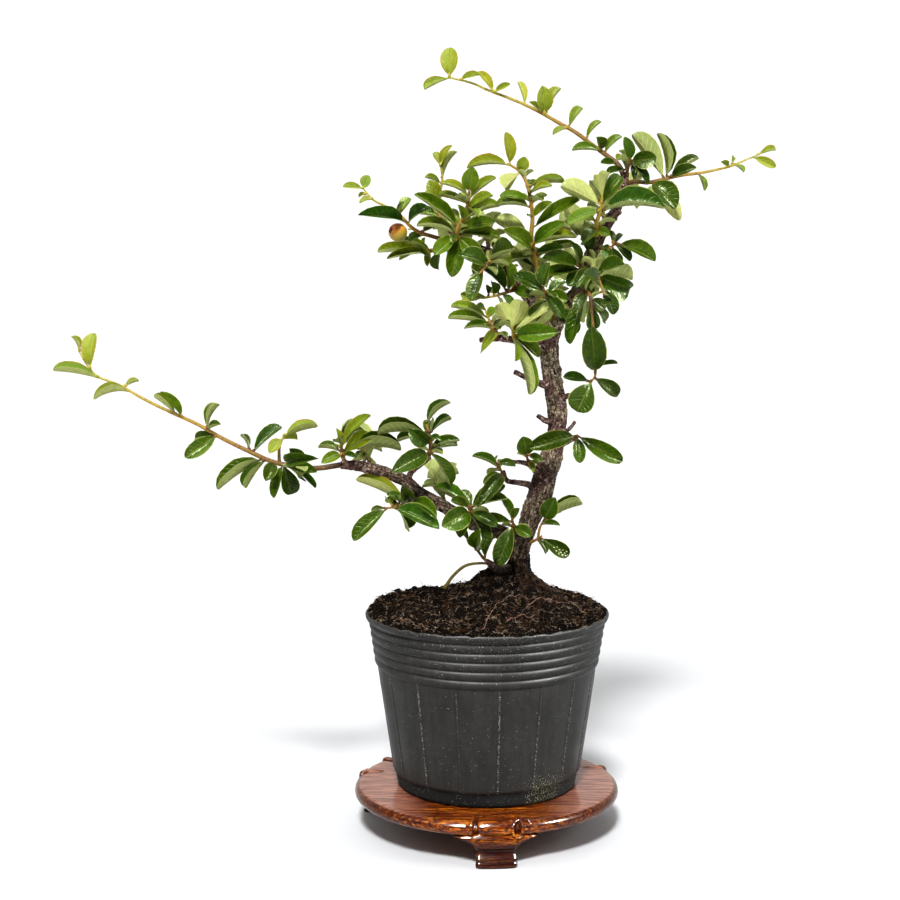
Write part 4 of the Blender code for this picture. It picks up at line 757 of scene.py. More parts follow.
listed_count = sum(len(leaves) for parts in SHOOTS.values() for *_, leaves in parts)
print(listed_count, "leaves in", len(SHOOTS), "shoots")

# %% Shoots that fill the other sides
# Root and tip as (x, z, depth), and the number of leaves
FILLING_SHOOTS = {
    "shoot_inner_trunk": ((32, 252, 0), (45, 258, 20), 6),
    "shoot_inner_left": ((20, 267, -4.5), (19, 285, 12), 6),
    "shoot_inner_end": ((1, 288.7, -9), (-3, 301, 10), 5),
    "shoot_inner_right": ((50, 289, -5.3), (41, 301, 14), 6),
    "shoot_back_trunk": ((31, 240, 0), (22, 256, 42), 5),
    "shoot_back_middle": ((36, 259, -0.5), (31, 286, 56), 7),
    "shoot_back_left": ((12, 277, -7), (3, 286, 44), 6),
    "shoot_back_left_end": ((-10, 292, -9), (-22, 300, 30), 5),
    "shoot_back_right": ((45, 273, -3), (60, 279, 46), 7),
    "shoot_back_right_top": ((57, 302, -6), (52, 316, 38), 5),
    "shoot_back_spur": ((63, 313, -5.6), (74, 316, 32), 5),
    "shoot_back_low": ((-20, 163, -8), (-26, 176, 30), 5),
    "shoot_back_low_end": ((-57, 183, -12.6), (-62, 193, 22), 5),
    "shoot_front_left": ((6, 284.5, -8.5), (-4, 279, -44), 5),
    "shoot_front_right": ((48, 284, -5), (57, 268, -42), 5),
}
FILLING_SEED = 20
YOUNG_SHOOTS = ("shoot_low_tip", "shoot_top", "shoot_right", "shoot_left_tip", "shoot_left_upright")
print(len(FILLING_SHOOTS), "filling shoots")

# %% [markdown]
# ## Fitting the leaves
# Leaves on a living plant push each other aside. Each leaf here has a few places that it may take, the
# listed one first, and takes the first where it clears the leaves of other shoots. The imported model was
# fitted by the same rule, so a leaf of this scene lies where its solid lies.

# %% A plain blade, for fitting
LEAF_THICKNESS = 1.1
CLEARANCE = 0.75
BERRY_CENTRE = (-43.5, 299.0, -17.0)
BERRY_RADIUS = 4.5


def turned_normal(direction, turn):
    """A leaf's upper side: towards the eye at 0 degrees, up at 90, away from the eye at 180."""
    facing = Vector((0, -1, 0))
    facing = (facing - direction * facing.dot(direction)).normalized()
    upward = facing.cross(direction)
    if upward.z < 0:
        upward = -upward
    angle = math.radians(turn)
    return facing * math.cos(angle) + upward * math.sin(angle)


def blade(base, tip, normal, width, bend, grow=0.0):
    """Points and faces of a leaf: a wedge from its stalk, widest past its middle and blunt at its tip,
    with a keel under its midrib, and arched by bend."""
    along = tip - base
    direction = along.normalized()
    normal = (normal - direction * normal.dot(direction)).normalized()
    side = direction.cross(normal)
    rings = []
    for t, half in ((0.0, 0.6), (0.56, 0.49 * width), (0.85, 0.37 * width)):
        centre = base + along * t + normal * (bend * 4 * t * (1 - t))
        edge = centre + normal * (LEAF_THICKNESS * 0.4 + grow)
        keel = centre - normal * (LEAF_THICKNESS * 0.6 + grow)
        rings.append([edge - side * (half + grow), edge + side * (half + grow), keel])
    return skin(rings, tip + direction * grow, split=True)


print("a plain blade has", len(blade(Vector(), Vector((0, 0, 9)), Vector((0, -1, 0)), 3, 1)[1]), "faces")

# %% A crowd of solids
def tree_of(points, faces):
    return BVHTree.FromPolygons(list(points), faces)


class Crowd:
    """What stands in the way: each solid's tree, with a ball round it and the node that it belongs to."""

    def __init__(self):
        self.solids = []

    def add(self, node, points, faces):
        centre = sum(points, Vector()) / len(points)
        reach = max((point - centre).length for point in points)
        self.solids.append((node, centre, reach, tree_of(points, faces)))

    def hits(self, node, points, faces, own):
        """Whether a leaf meets a solid of another node or, where own is set, of its own node too."""
        centre = sum(points, Vector()) / len(points)
        reach = max((point - centre).length for point in points)
        tree = None
        for other, middle, radius, solid in self.solids:
            if (other == node) != own or (middle - centre).length > radius + reach:
                continue
            tree = tree or tree_of(points, faces)
            if tree.overlap(solid):
                return True
        return False


def fitted_leaf(crowd, node, choices):
    """The first choice that clears everything, or else the first that clears the other nodes."""
    spare = None
    for base, tip, normal, width, bend in choices:
        grown = blade(base, tip, normal, width, bend, CLEARANCE / 2)
        if crowd.hits(node, *grown, own=False):
            continue
        beyond = base.lerp(tip, 0.22)
        outer = blade(beyond, tip, normal, width, bend)
        if not crowd.hits(node, *outer, own=True):
            return (base, tip, normal, width, bend), outer
        spare = spare or ((base, tip, normal, width, bend), outer)
    return spare


print("fitting is ready")

# %% Places that a leaf may take
def listed_leaf_choices(points, leaf, draw):
    """A listed leaf keeps its place in the front view: only its depth and its turn give way."""
    station, x, z, step, width, turn = leaf
    base, _ = route_place(points, station)
    bend_share = draw.uniform(0.04, 0.13)
    lean = draw.uniform(-8, 8)
    for turn_by in (0, 22, -22, 45):
        for more in (0, -3, 3, -6, 6, -10, 10, -15, 15):
            tip = on_front(x, z, base.y + step + more)
            direction = (tip - base).normalized()
            normal = turned_normal(direction, turn + lean + turn_by)
            yield base, tip, normal, width, bend_share * (tip - base).length


print("a leaf may turn and move along the line of sight")

# %% Places on a filling shoot
SPIRAL_TURN = 137.5


def filling_leaf_choices(points, index, count, draw):
    """A leaf of a filling shoot: spiral round its stem, rising from it, with its upper side outwards."""
    station = 0.28 + 0.72 * index / (count - 1)
    base, direction = route_place(points, station)
    length = draw.uniform(13.0, 19.0) * (0.8 if index == count - 1 else 1.0)
    width = length * draw.uniform(0.42, 0.56)
    rise = math.radians(draw.uniform(38, 58) if index < count - 1 else 12)
    spiral = math.radians(SPIRAL_TURN * index) + draw.uniform(-0.3, 0.3)
    bend = length * draw.uniform(0.04, 0.12)
    across = direction.orthogonal().normalized()
    for shrink in (1.0, 0.86, 0.72):
        for more in (0, 24, -24, 48, -48, 75, -75, 105, -105):
            outward = Quaternion(direction, spiral + math.radians(more)) @ across
            leaf_way = direction * math.cos(rise) + outward * math.sin(rise)
            leaf_way = (leaf_way + Vector((0, 0, 0.18))).normalized()
            normal = direction * math.sin(rise) - outward * math.cos(rise) + Vector((0, 0, 0.9))
            yield base, base + leaf_way * length * shrink, normal, width * shrink, bend * shrink


def filling_route(root, tip):
    """A stem that bows up a little between its root and its tip."""
    start = on_front(*root)
    end = on_front(*tip)
    middle = start.lerp(end, 0.5) + Vector((0, 0, 3.0))
    return [start, middle, end]


print("leaves stand", SPIRAL_TURN, "degrees apart round a filling shoot")

# %% All stems
def stem_list():
    """Every stem as (node, points, root radius, tip radius, what its leaves are)."""
    stems = []
    for node, parts in SHOOTS.items():
        for route, root_radius, tip_radius, leaves in parts:
            points = smooth_route([on_front(*place) for place in route], 1 if len(route) > 4 else 2)
            stems.append((node, points, root_radius, tip_radius, leaves))
    for node, (root, tip, count) in FILLING_SHOOTS.items():
        stems.append((node, filling_route(root, tip), 1.1, 0.6, count))
    return stems


print(len(stem_list()), "stems")

# %% Cages for the crowd
def stem_radii(points, root_radius, tip_radius):
    count = len(points) - 1
    return [root_radius + (tip_radius - root_radius) * i / count for i in range(count + 1)]


def stem_cage(points, radii):
    """A square tube round a stem, for the crowd."""
    rings = []
    for i, (point, radius) in enumerate(zip(points, radii)):
        ahead = points[min(i + 1, len(points) - 1)] - points[max(i - 1, 0)]
        turn = ahead.to_track_quat("Z", "Y")
        corners = [Vector((1, 1, 0)), Vector((-1, 1, 0)), Vector((-1, -1, 0)), Vector((1, -1, 0))]
        rings.append([point + turn @ corner * radius * 0.92 for corner in corners])
    return skin(rings, split=True)


def berry_cage():
    centre = on_front(*BERRY_CENTRE)
    work = bmesh.new()
    bmesh.ops.create_icosphere(work, subdivisions=1, radius=BERRY_RADIUS + 0.5)
    points = [centre + vertex.co for vertex in work.verts]
    work.verts.ensure_lookup_table()
    faces = [tuple(vertex.index for vertex in face.verts) for face in work.faces]
    work.free()
    return points, faces


print("the berry's cage has", len(berry_cage()[1]), "faces")

# %% Every leaf in its place
def place_leaves():
    """The stems, and beside each the leaves that found a place, with what was listed for each."""
    stems = stem_list()
    crowd = Crowd()
    for route in [TRUNK, *BRANCHES.values()]:
        points = [on_front(*place[:3]) for place in route]
        crowd.add("wood", *stem_cage(points, [place[3] + 0.4 for place in route]))
    for node, points, root_radius, tip_radius, _ in stems:
        crowd.add(node, *stem_cage(points, stem_radii(points, root_radius, tip_radius)))
    crowd.add("berry", *berry_cage())
    placed = []
    for number, (node, points, _, _, leaves) in enumerate(stems):
        draw = random.Random(FILLING_SEED + number)
        if isinstance(leaves, int):
            listed = [None] * leaves
            offers = [filling_leaf_choices(points, i, leaves, draw) for i in range(leaves)]
        else:
            listed = leaves
            offers = [listed_leaf_choices(points, leaf, draw) for leaf in leaves]
        fitted = []
        for leaf, offer in zip(listed, offers):
            found = fitted_leaf(crowd, node, offer)
            if found:
                fitted.append((leaf, found[0]))
                crowd.add(node, *found[1])
        placed.append(fitted)
    return stems, placed


stems, placed = place_leaves()
print(sum(len(leaves) for leaves in placed), "leaves found a place")

# %% [markdown]
# ## Leaf shapes
# A cotoneaster leaf is thin and leathery: widest past its middle, with a blunt end and a tiny point, a sunken
# midrib on top and a raised one below, and a short stalk. Nine shapes are enough, three outlines with three
# bends, because each use is scaled and turned. A shape lies along +Y, one long and one wide, with its upper
# side up. It is a loft of rings of eight points, with few faces, because it is repeated so often.

# %% Leaf outlines
STALK_SHARE = 0.09
LEAF_ROWS = (0.0, STALK_SHARE, 0.17, 0.31, 0.47, 0.63, 0.78, 0.90, 0.97)
LEAF_RING = (-1.0, -0.5, 0.0, 0.5, 1.0, 0.5, 0.0, -0.5)
# Each outline is (fullness of its base, bluntness of its end, fold, ripple)
LEAF_OUTLINES = ((0.74, 0.50, 0.30, 0.007), (0.92, 0.45, 0.42, 0.009), (0.68, 0.58, 0.36, 0.011))
LEAF_BENDS = (0.045, 0.085, 0.125)


def half_width(t, fullness, bluntness):
    """The blade's half width, as a share of its widest."""
    if t <= STALK_SHARE:
        return 0.11
    s = (t - STALK_SHARE) / (1.0 - STALK_SHARE)
    peak = fullness / (fullness + bluntness)
    return max(0.11, (s / peak) ** fullness * ((1.0 - s) / (1.0 - peak)) ** bluntness)


def leaf_ring(t, outline, bend):
    fullness, bluntness, fold, ripple = outline
    share = half_width(t, fullness, bluntness)
    on_blade = t > STALK_SHARE
    ring = []
    for place, column in enumerate(LEAF_RING):
        lift = bend * 4.0 * t * (1.0 - t)
        lift += share * (fold * abs(column) - 0.3 * fold * column * column) * on_blade
        lift += ripple * share * column * math.sin(14.0 * t + 1.5 * column)
        lift -= 0.012 * on_blade * (column == 0.0)
        if place > 4:
            lift -= (0.036 if column == 0.0 else 0.022) if on_blade else 0.045
        ring.append(Vector((0.5 * share * column, t, lift)))
    return ring


widest = max(LEAF_ROWS, key=lambda t: half_width(t, *LEAF_OUTLINES[0][:2]))
print("the first outline is widest at", widest, "of its length")

# %% Nine leaf shapes
def leaf_shape(name, outline, bend):
    around = len(LEAF_RING)
    rings = [leaf_ring(t, outline, bend) for t in LEAF_ROWS]
    points, faces = skin(rings, Vector((0.0, 1.0, 0.0)))
    mesh = bpy.data.meshes.new(name)
    mesh.from_pydata(points, [], faces)
    mesh.uv_layers.new(name="UVMap")
    mesh.attributes.new("side", "INT", "FACE")
    mesh.attributes.new("sharp_edge", "BOOLEAN", "EDGE")
    side = mesh.attributes["side"]
    edges = mesh.attributes["sharp_edge"]
    uv_map = mesh.uv_layers["UVMap"]
    for face in mesh.polygons:
        places = [index % around for index in face.vertices if index < len(points) - 1]
        upper = max(places) <= 4
        on_stalk = min(face.vertices) < around
        side.data[face.index].value = 0 if on_stalk else 1 if upper else 2
        middle = sum(LEAF_RING[place] for place in places) / len(places)
        for corner, index in zip(face.loop_indices, face.vertices):
            at_tip = index == len(points) - 1
            column = middle if at_tip else LEAF_RING[index % around]
            uv_map.data[corner].uv = (0.5 + 0.5 * column, 1.0 if at_tip else LEAF_ROWS[index // around])
    mesh.shade_smooth()
    for edge in mesh.edges:
        first, second = (index % around for index in edge.vertices)
        edges.data[edge.index].value = first == second and first in (0, 4)
    return bpy.data.objects.new(name, mesh)


leaf_shapes = bpy.data.collections.new("leaf shapes")
for number in range(len(LEAF_OUTLINES) * len(LEAF_BENDS)):
    outline = LEAF_OUTLINES[number // 3]
    leaf_shapes.objects.link(leaf_shape(f"leaf_shape_{number}", outline, LEAF_BENDS[number % 3]))

# %% [markdown]
# ## The tree that grows a shoot
# One Geometry Nodes tree grows every shoot. Its input is a guide: chains of edges for the stems, and loose
# points for the leaves. Each point carries its radius or its leaf's turning, size, shape and age. The tree
# turns the chains into round stems, puts a leaf on each loose point and a small bud under it, realizes all
# that and sets the three finishes.

# %% Helpers for grown pieces
def node_group(name, sockets):
    """An empty Geometry Nodes tree with named inputs, and its input and output nodes."""
    tree = bpy.data.node_groups.new(name, "GeometryNodeTree")
    tree.interface.new_socket("Geometry", in_out="INPUT", socket_type="NodeSocketGeometry")
    for label, kind in sockets.items():
        tree.interface.new_socket(label, in_out="INPUT", socket_type="NodeSocket" + kind)
    tree.interface.new_socket("Geometry", in_out="OUTPUT", socket_type="NodeSocketGeometry")
    return tree, add(tree, "NodeGroupInput").outputs, add(tree, "NodeGroupOutput").inputs


def kept(tree, name, kind="FLOAT"):
    """What a named attribute holds."""
    made = add(tree, "GeometryNodeInputNamedAttribute", data_type=kind)
    made.inputs["Name"].default_value = name
    return made.outputs["Attribute"]


def same(value, number):
    made = add(home(value), "FunctionNodeCompare", data_type="INT", operation="EQUAL")
    for item, socket in zip((value, number), [socket for socket in made.inputs if socket.type == "INT"]):
        put(item, socket)
    return made.outputs["Result"]


print("Geometry Nodes helpers ready")

# %% Leaves and buds of the shoot tree
shoot_tree, given, result = node_group("leafy shoot", {
    "Leaf Shapes": "Collection", "Bud": "Object", "Stem Sides": "Int", "Stem Finish": "Material",
    "Upper Finish": "Material", "Under Finish": "Material",
})
parts = add(shoot_tree, "GeometryNodeSeparateGeometry", {
    "Geometry": given["Geometry"], "Selection": kept(shoot_tree, "is_leaf", "BOOLEAN"),
}).outputs
shapes = add(shoot_tree, "GeometryNodeCollectionInfo", {
    "Collection": given["Leaf Shapes"], "Separate Children": True, "Reset Children": True,
}).outputs[0]
leaves = add(shoot_tree, "GeometryNodeInstanceOnPoints", {
    "Points": parts["Selection"], "Instance": shapes, "Pick Instance": True,
    "Instance Index": kept(shoot_tree, "shape", "INT"),
    "Rotation": kept(shoot_tree, "turning", "FLOAT_VECTOR"),
    "Scale": kept(shoot_tree, "size", "FLOAT_VECTOR"),
}).outputs[0]
bud_shape = add(shoot_tree, "GeometryNodeObjectInfo", {"Object": given["Bud"]}).outputs["Geometry"]
buds = add(shoot_tree, "GeometryNodeInstanceOnPoints", {
    "Points": parts["Selection"], "Instance": bud_shape,
    "Rotation": kept(shoot_tree, "turning", "FLOAT_VECTOR"), "Scale": kept(shoot_tree, "bud_size"),
}).outputs[0]
print("leaves and buds:", len(shoot_tree.nodes), "nodes")

# %% Stems of the shoot tree
chains = add(shoot_tree, "GeometryNodeMeshToCurve", {"Mesh": parts["Inverted"]}).outputs[0]
ring = add(shoot_tree, "GeometryNodeCurvePrimitiveCircle", {
    "Resolution": given["Stem Sides"], "Radius": 1.0,
}).outputs["Curve"]
sweep = add(shoot_tree, "GeometryNodeCurveToMesh", {"Profile Curve": ring, "Fill Caps": True})
if "Scale" in sweep.inputs:
    put(kept(shoot_tree, "stem_radius"), sweep.inputs["Scale"])
else:
    chains = add(shoot_tree, "GeometryNodeSetCurveRadius", {
        "Curve": chains, "Radius": kept(shoot_tree, "stem_radius"),
    }).outputs[0]
put(chains, sweep.inputs["Curve"])
smooth_stems = add(shoot_tree, "GeometryNodeSetShadeSmooth", {"Geometry": sweep.outputs[0]}).outputs[0]
together = add(shoot_tree, "GeometryNodeJoinGeometry")
for part in (leaves, buds, smooth_stems):
    put(part, together.inputs[0])
grown = add(shoot_tree, "GeometryNodeRealizeInstances", {"Geometry": together.outputs[0]}).outputs[0]
for number, label in enumerate(("Stem Finish", "Upper Finish", "Under Finish")):
    grown = add(shoot_tree, "GeometryNodeSetMaterial", {
        "Geometry": grown, "Material": given[label],
        "Selection": same(kept(shoot_tree, "side", "INT"), number),
    }).outputs[0]
put(grown, result["Geometry"])
print("the shoot tree has", len(shoot_tree.nodes), "nodes")

# %% [markdown]
# ## Leaf finishes
# The upper side is glossy and green, lighter along the sunken midrib. A young leaf is yellow-green, with an
# orange-brown edge, and it darkens as it ages. The underside is pale and felted. The patterns read the leaf's
# own map: across it from margin to margin, and along it from stalk to tip. Its age and its tint are
# attributes that the shoot tree passes on from each leaf's point.

# %% Upper side of a leaf
LEAF_AGES = (
    (0.0, 160, 172, 56), (0.25, 136, 152, 34), (0.5, 106, 130, 14), (0.75, 66, 94, 6), (1.0, 36, 56, 0),
)


def leaf_map(tree):
    """How far a point is from the midrib (0 to 1), and how far along the leaf."""
    places = xyz(add(tree, "ShaderNodeUVMap", uv_map="UVMap").outputs[0])
    across = calc("ABSOLUTE", calc("MULTIPLY_ADD", places["X"], 2.0, -1.0))
    return across, places["Y"]


def side_veins(across, along):
    """Thin lines that leave the midrib at a slant, nine to a side."""
    slant = minus(times(along, 9.0), times(across, 1.9))
    off_line = calc("ABSOLUTE", minus(calc("FRACT", slant), 0.5))
    fading = spread(across, 0.98, 0.55)
    return times(spread(off_line, 0.13, 0.02), fading)


leaf_upper, tree, shader, coordinates = new_finish("leaf upper side")
across, along = leaf_map(tree)
age = named(tree, "age")
tint = named(tree, "tint")
mottle = cloud(coordinates, 420.0, 3.0)
tone = shades(plus(age, calc("MULTIPLY_ADD", mottle, 0.44, -0.22)), *LEAF_AGES)
cool = blend(1.0, tone, (0.60, 0.95, 1.9, 1.0), "MULTIPLY")
warm = blend(1.0, tone, (1.35, 1.02, 0.7, 1.0), "MULTIPLY")
tone = blend(spread(tint, 0.55, 1.0), tone, cool)
tone = blend(spread(tint, 0.45, 0.0), tone, warm)
midrib = spread(across, 0.13, 0.03)
veins = side_veins(across, along)
light_line = blend(age, paint(222, 212, 118), paint(120, 138, 48))
tone = blend(times(midrib, 0.34), tone, light_line)
tone = blend(times(veins, 0.12), tone, light_line)
edge_red = times(spread(across, 0.72, 1.0), spread(age, 0.62, 0.1, 0.0, 0.55))
tone = stain(tone, edge_red, (186, 104, 34))
edge_light = times(spread(across, 0.92, 0.98), spread(age, 0.1, 0.6, 0.3, 0.6))
tone = stain(tone, edge_light, (206, 200, 116))
tone = stain(tone, spread(along, 0.16, 0.06), (150, 140, 62))
swell = minus(minus(mottle, times(veins, 0.45)), times(midrib, 0.9))
dull = plus(spread(age, 0.0, 0.8, 0.56, 0.26), times(mottle, 0.14))
surface(shader, tone, relief(swell, 0.0004), dull, 0.3)
shader.inputs["Specular Tint"].default_value = (0.88, 1.0, 0.62, 1.0)
print("upper side:", len(tree.nodes), "nodes")

# %% Underside of a leaf
leaf_under, tree, shader, coordinates = new_finish("leaf underside")
across, along = leaf_map(tree)
age = named(tree, "age")
tint = named(tree, "tint")
felt = cloud(coordinates, 2600.0, 2.0)
mottle = cloud(coordinates, 350.0, 3.0)
tone = shades(age, (0.0, 202, 205, 124), (0.45, 190, 199, 124), (0.8, 174, 186, 114), (1.0, 150, 162, 98))
tone = stain(tone, spread(mottle, 0.35, 0.7, 0.0, 0.35), (134, 146, 72))
tone = stain(tone, spread(tint, 0.6, 1.0, 0.0, 0.4), (110, 124, 66))
midrib = spread(across, 0.12, 0.03)
veins = side_veins(across, along)
tone = stain(tone, midrib, (214, 200, 132), 0.6)
tone = stain(tone, veins, (222, 222, 166), 0.42)
tone = stain(tone, spread(across, 0.9, 0.98, 0.0, 0.5), (226, 216, 142))
swell = plus(plus(times(felt, 0.3), times(midrib, 0.9)), times(veins, 0.35))
surface(shader, tone, relief(swell, 0.0004), 0.8, 0.06)
print("underside:", len(tree.nodes), "nodes")

# %% Stems and stalks
young_bark, tree, shader, coordinates = new_finish("young shoot bark")
age = named(tree, "age")
flecks = cloud(coordinates, 700.0, 3.0, 0.6)
tone = shades(
    plus(age, calc("MULTIPLY_ADD", flecks, 0.36, -0.18)), (0.0, 190, 188, 84), (0.25, 182, 164, 70),
    (0.5, 166, 130, 58), (0.75, 124, 92, 50), (1.0, 76, 57, 41),
)
streaks = cloud(stretched(coordinates, 1.0, 1.0, 0.35), 900.0, 3.0, 0.65)
tone = stain(tone, spread(streaks, 0.52, 0.68, 0.0, 0.6), (104, 50, 30))
olive = blend(1.0, tone, (0.72, 1.02, 0.4, 1.0), "MULTIPLY")
tone = blend(spread(named(tree, "tint"), 0.6, 1.0), tone, olive)
hairs = spread(cloud(coordinates, 2400.0, 2.0), 0.55, 0.75)
tone = stain(tone, hairs, (226, 214, 170), 0.35)
surface(shader, tone, relief(flecks, 0.0003, 0.7), 0.6, 0.12)
print("stem finish:", len(tree.nodes), "nodes")

# %% [markdown]
# ## How old each leaf is
# Age decides a leaf's colour. On a long young shoot the last leaves are the youngest, and on an old spur they
# are all dark. A few leaves that the front shows stand out, so their ages are listed.

# %% Ages
# For a young shoot, the station where its leaves begin to turn young, and where they are youngest
YOUNG_FROM = {
    "shoot_low_tip": (0.40, 0.85), "shoot_top": (0.05, 0.55), "shoot_right": (0.35, 0.9),
    "shoot_left_tip": (0.4, 0.9), "shoot_left_upright": (0.2, 0.8), "shoot_middle": (0.3, 1.0),
    "shoot_left_fan": (0.0, 1.1), "shoot_right_fan": (0.0, 1.3), "shoot_pale": (0.0, 1.3),
    "shoot_pale_end": (0.1, 1.3), "shoot_mid_left": (0.2, 1.3), "shoot_left_low": (0.3, 1.2),
}
# Stems of one age from end to end
STEM_AGES = {
    "sucker": 0.85, "shoot_base_right": 0.6, "shoot_left_fan": 0.38, "shoot_right_fan": 0.36,
    "shoot_middle": 0.45, "shoot_pale": 0.36,
}
# Small leaves that sprout at the nodes of a full shoot, so many to a centimetre of its stem
TUFT = "tuft"
TUFT_DENSITY = 2.2
BARE_SHOOTS = ("shoot_low_tip", "shoot_top", "shoot_right", "shoot_left_tip", "sucker", "shoot_hanging",
               "shoot_trunk_right", "shoot_left_upright", "shoot_base_right")
# By the place of the tip: (age, tint), where a tint over 0.5 is bluish and one under it is olive
LEAF_NOTES = {
    (-74, 203): (0.25, 0.4), (-57, 209.5): (0.3, 0.6), (-81.5, 185.5): (0.5, 0.5),
    (-57, 199.5): (0.62, 0.0), (-18.5, 174.5): (0.8, 0.3), (-64.5, 177.5): (0.1, 0.4),
    (-23.5, 152.5): (0.75, 0.9), (51, 252): (0.85, 0.9), (50.3, 253.5): (0.9, 0.45), (44, 211): (0.85, 0.5),
    (-3.5, 240): (0.3, 0.4), (-22.5, 322.7): (0.2, 0.3), (6, 296): (0.7, 0.2), (-17.3, 341): (0.05, 0.3),
    (-28.5, 324.2): (0.35, 0.3), (-62.7, 307.5): (0.75, 0.95), (-27.8, 310.6): (0.9, 0.9),
    (17.7, 335.5): (0.3, 0.4), (31, 321.5): (0.2, 0.4), (43, 296.8): (0.15, 0.4), (8.3, 347.3): (0.3, 0.2),
    (-10.3, 330): (0.2, 0.3), (-7.2, 330.5): (0.6, 0.6), (6, 282): (0.6, 0.2), (38.5, 273): (0.85, 0.9),
    (64, 326): (0.75, 0.45), (85.3, 311): (0.8, 0.9), (81, 335): (0.85, 0.45), (138.3, 330.3): (0.1, 0.4),
    (90.5, 310.5): (0.85, 0.6), (92.8, 304.7): (0.2, 0.4), (-18, 387.3): (0.12, 0.4),
    (69, 271.5): (0.8, 0.75), (66.5, 186.5): (0.75, 0.4), (81.2, 285): (0.7, 0.6),
}
print(len(LEAF_NOTES), "leaves have ages of their own")

# %% Looks and tufts
def leaf_look(node, leaf, draw):
    """The age and the tint of a leaf."""
    if leaf == TUFT:
        return draw.uniform(0.3, 0.95), draw.uniform(0.1, 0.6)
    if leaf and (leaf[1], leaf[2]) in LEAF_NOTES:
        return LEAF_NOTES[leaf[1], leaf[2]]
    age = draw.uniform(0.72, 1.0)
    if leaf and node in YOUNG_FROM:
        start, full = YOUNG_FROM[node]
        youth = clamped((leaf[0] - start) / (full - start))
        age += (draw.uniform(0.05, 0.25) - age) * youth
    return age, draw.uniform(0.2, 0.85)


def tuft_leaves(node, points, draw):
    """Small young leaves along a stem, placed at random but never past its end."""
    if node in BARE_SHOOTS or not node.startswith("shoot"):
        return []
    length = sum((b - a).length for a, b in zip(points, points[1:]))
    tufts = []
    for _ in range(round(0.1 * TUFT_DENSITY * length) + 2):
        base, direction = route_place(points, draw.uniform(0.1, 0.92))
        away = Vector([draw.gauss(0, 1) for _ in range(3)])
        away = (away - 0.8 * direction * away.dot(direction)).normalized()
        reach = draw.uniform(4.5, 10.0)
        tip = base + (away + Vector((0, 0, 0.35))).normalized() * reach
        normal = (Vector((0, 0, 1)) + 0.5 * away).normalized()
        tufts.append((TUFT, (base, tip, normal, reach * draw.uniform(0.38, 0.5), 0.09 * reach)))
    return tufts


print("a full shoot has", TUFT_DENSITY, "small leaves to a centimetre")

# %% Guides
def shoot_guide(name, node_stems):
    """A guide mesh: the smoothed stems as chains of edges, and a loose point for each leaf."""
    points, edges, values = [], [], []
    for (node, route, root_radius, tip_radius, _), leaves, draw in node_stems:
        fine = smooth_route(route, 4)
        youth = node in YOUNG_FROM
        for i, point in enumerate(fine):
            share = i / (len(fine) - 1)
            if i:
                edges.append((len(points) - 1, len(points)))
            points.append(point)
            radius = root_radius + (tip_radius * 0.8 - root_radius) * share
            stem_age = STEM_AGES.get(node, 0.95 - share * (0.95 if youth else 0.45))
            tint = 1.0 if node == "sucker" else 0.5
            values.append((False, radius * MM, Vector(), Vector(), 0, stem_age, tint, 0.0))
        for leaf, (base, tip, normal, width, bend) in [*leaves, *tuft_leaves(node, fine, draw)]:
            along = tip - base
            direction = along.normalized()
            normal = (normal - direction * normal.dot(direction)).normalized()
            turning = Matrix((direction.cross(normal), direction, normal)).transposed().to_euler()
            bend_share = bend / along.length
            nearest = min(range(3), key=lambda i: abs(LEAF_BENDS[i] - bend_share))
            shape = nearest + 3 * draw.randrange(3)
            size = Vector((width, along.length, along.length)) * MM
            age, tint = leaf_look(node, leaf, draw)
            bud = draw.uniform(0.55, 0.95) * MM
            points.append(base)
            values.append((True, 0.0, Vector(turning), size, shape, age, tint, bud))
    mesh = bpy.data.meshes.new(name)
    mesh.from_pydata([in_place(point) for point in points], edges, [])
    kinds = {
        "is_leaf": "BOOLEAN", "stem_radius": "FLOAT", "turning": "FLOAT_VECTOR", "size": "FLOAT_VECTOR",
        "shape": "INT", "age": "FLOAT", "tint": "FLOAT", "bud_size": "FLOAT",
    }
    for column, (label, kind) in enumerate(kinds.items()):
        field = "vector" if kind == "FLOAT_VECTOR" else "value"
        for item, row in zip(mesh.attributes.new(label, kind, "POINT").data, values):
            setattr(item, field, row[column])
    return shown(name, mesh)


print("guides ready")

# %% A bud
bud_mesh = bpy.data.meshes.new("bud")
bud_work = bmesh.new()
bmesh.ops.create_uvsphere(bud_work, u_segments=6, v_segments=4, radius=1.0)
bmesh.ops.scale(bud_work, verts=bud_work.verts, vec=(0.9, 1.7, 0.9))
bmesh.ops.translate(bud_work, verts=bud_work.verts, vec=(0.0, 1.2, 0.9))
bud_work.to_mesh(bud_mesh)
bud_work.free()
bud_mesh.shade_smooth()
bud = bpy.data.objects.new("bud", bud_mesh)
print("a bud has", len(bud_mesh.polygons), "faces")

# %% The shoots grown
def set_inputs(modifier, values):
    """Sets a tree's named inputs by their identifiers."""
    for item in modifier.node_group.interface.items_tree:
        if item.item_type == "SOCKET" and item.in_out == "INPUT" and item.name in values:
            modifier[item.identifier] = values[item.name]


def drop_shapes(shapes):
    """Removes a collection whose shapes are used up."""
    for shape in list(shapes.objects):
        bpy.data.objects.remove(shape, do_unlink=True)
    bpy.data.collections.remove(shapes)


def grow(source, tree, name, values):
    """The source with the tree's result, as a plain mesh."""
    modifier = source.modifiers.new("Grow", "NODES")
    modifier.node_group = tree
    set_inputs(modifier, values)
    return plain_mesh(source, name)


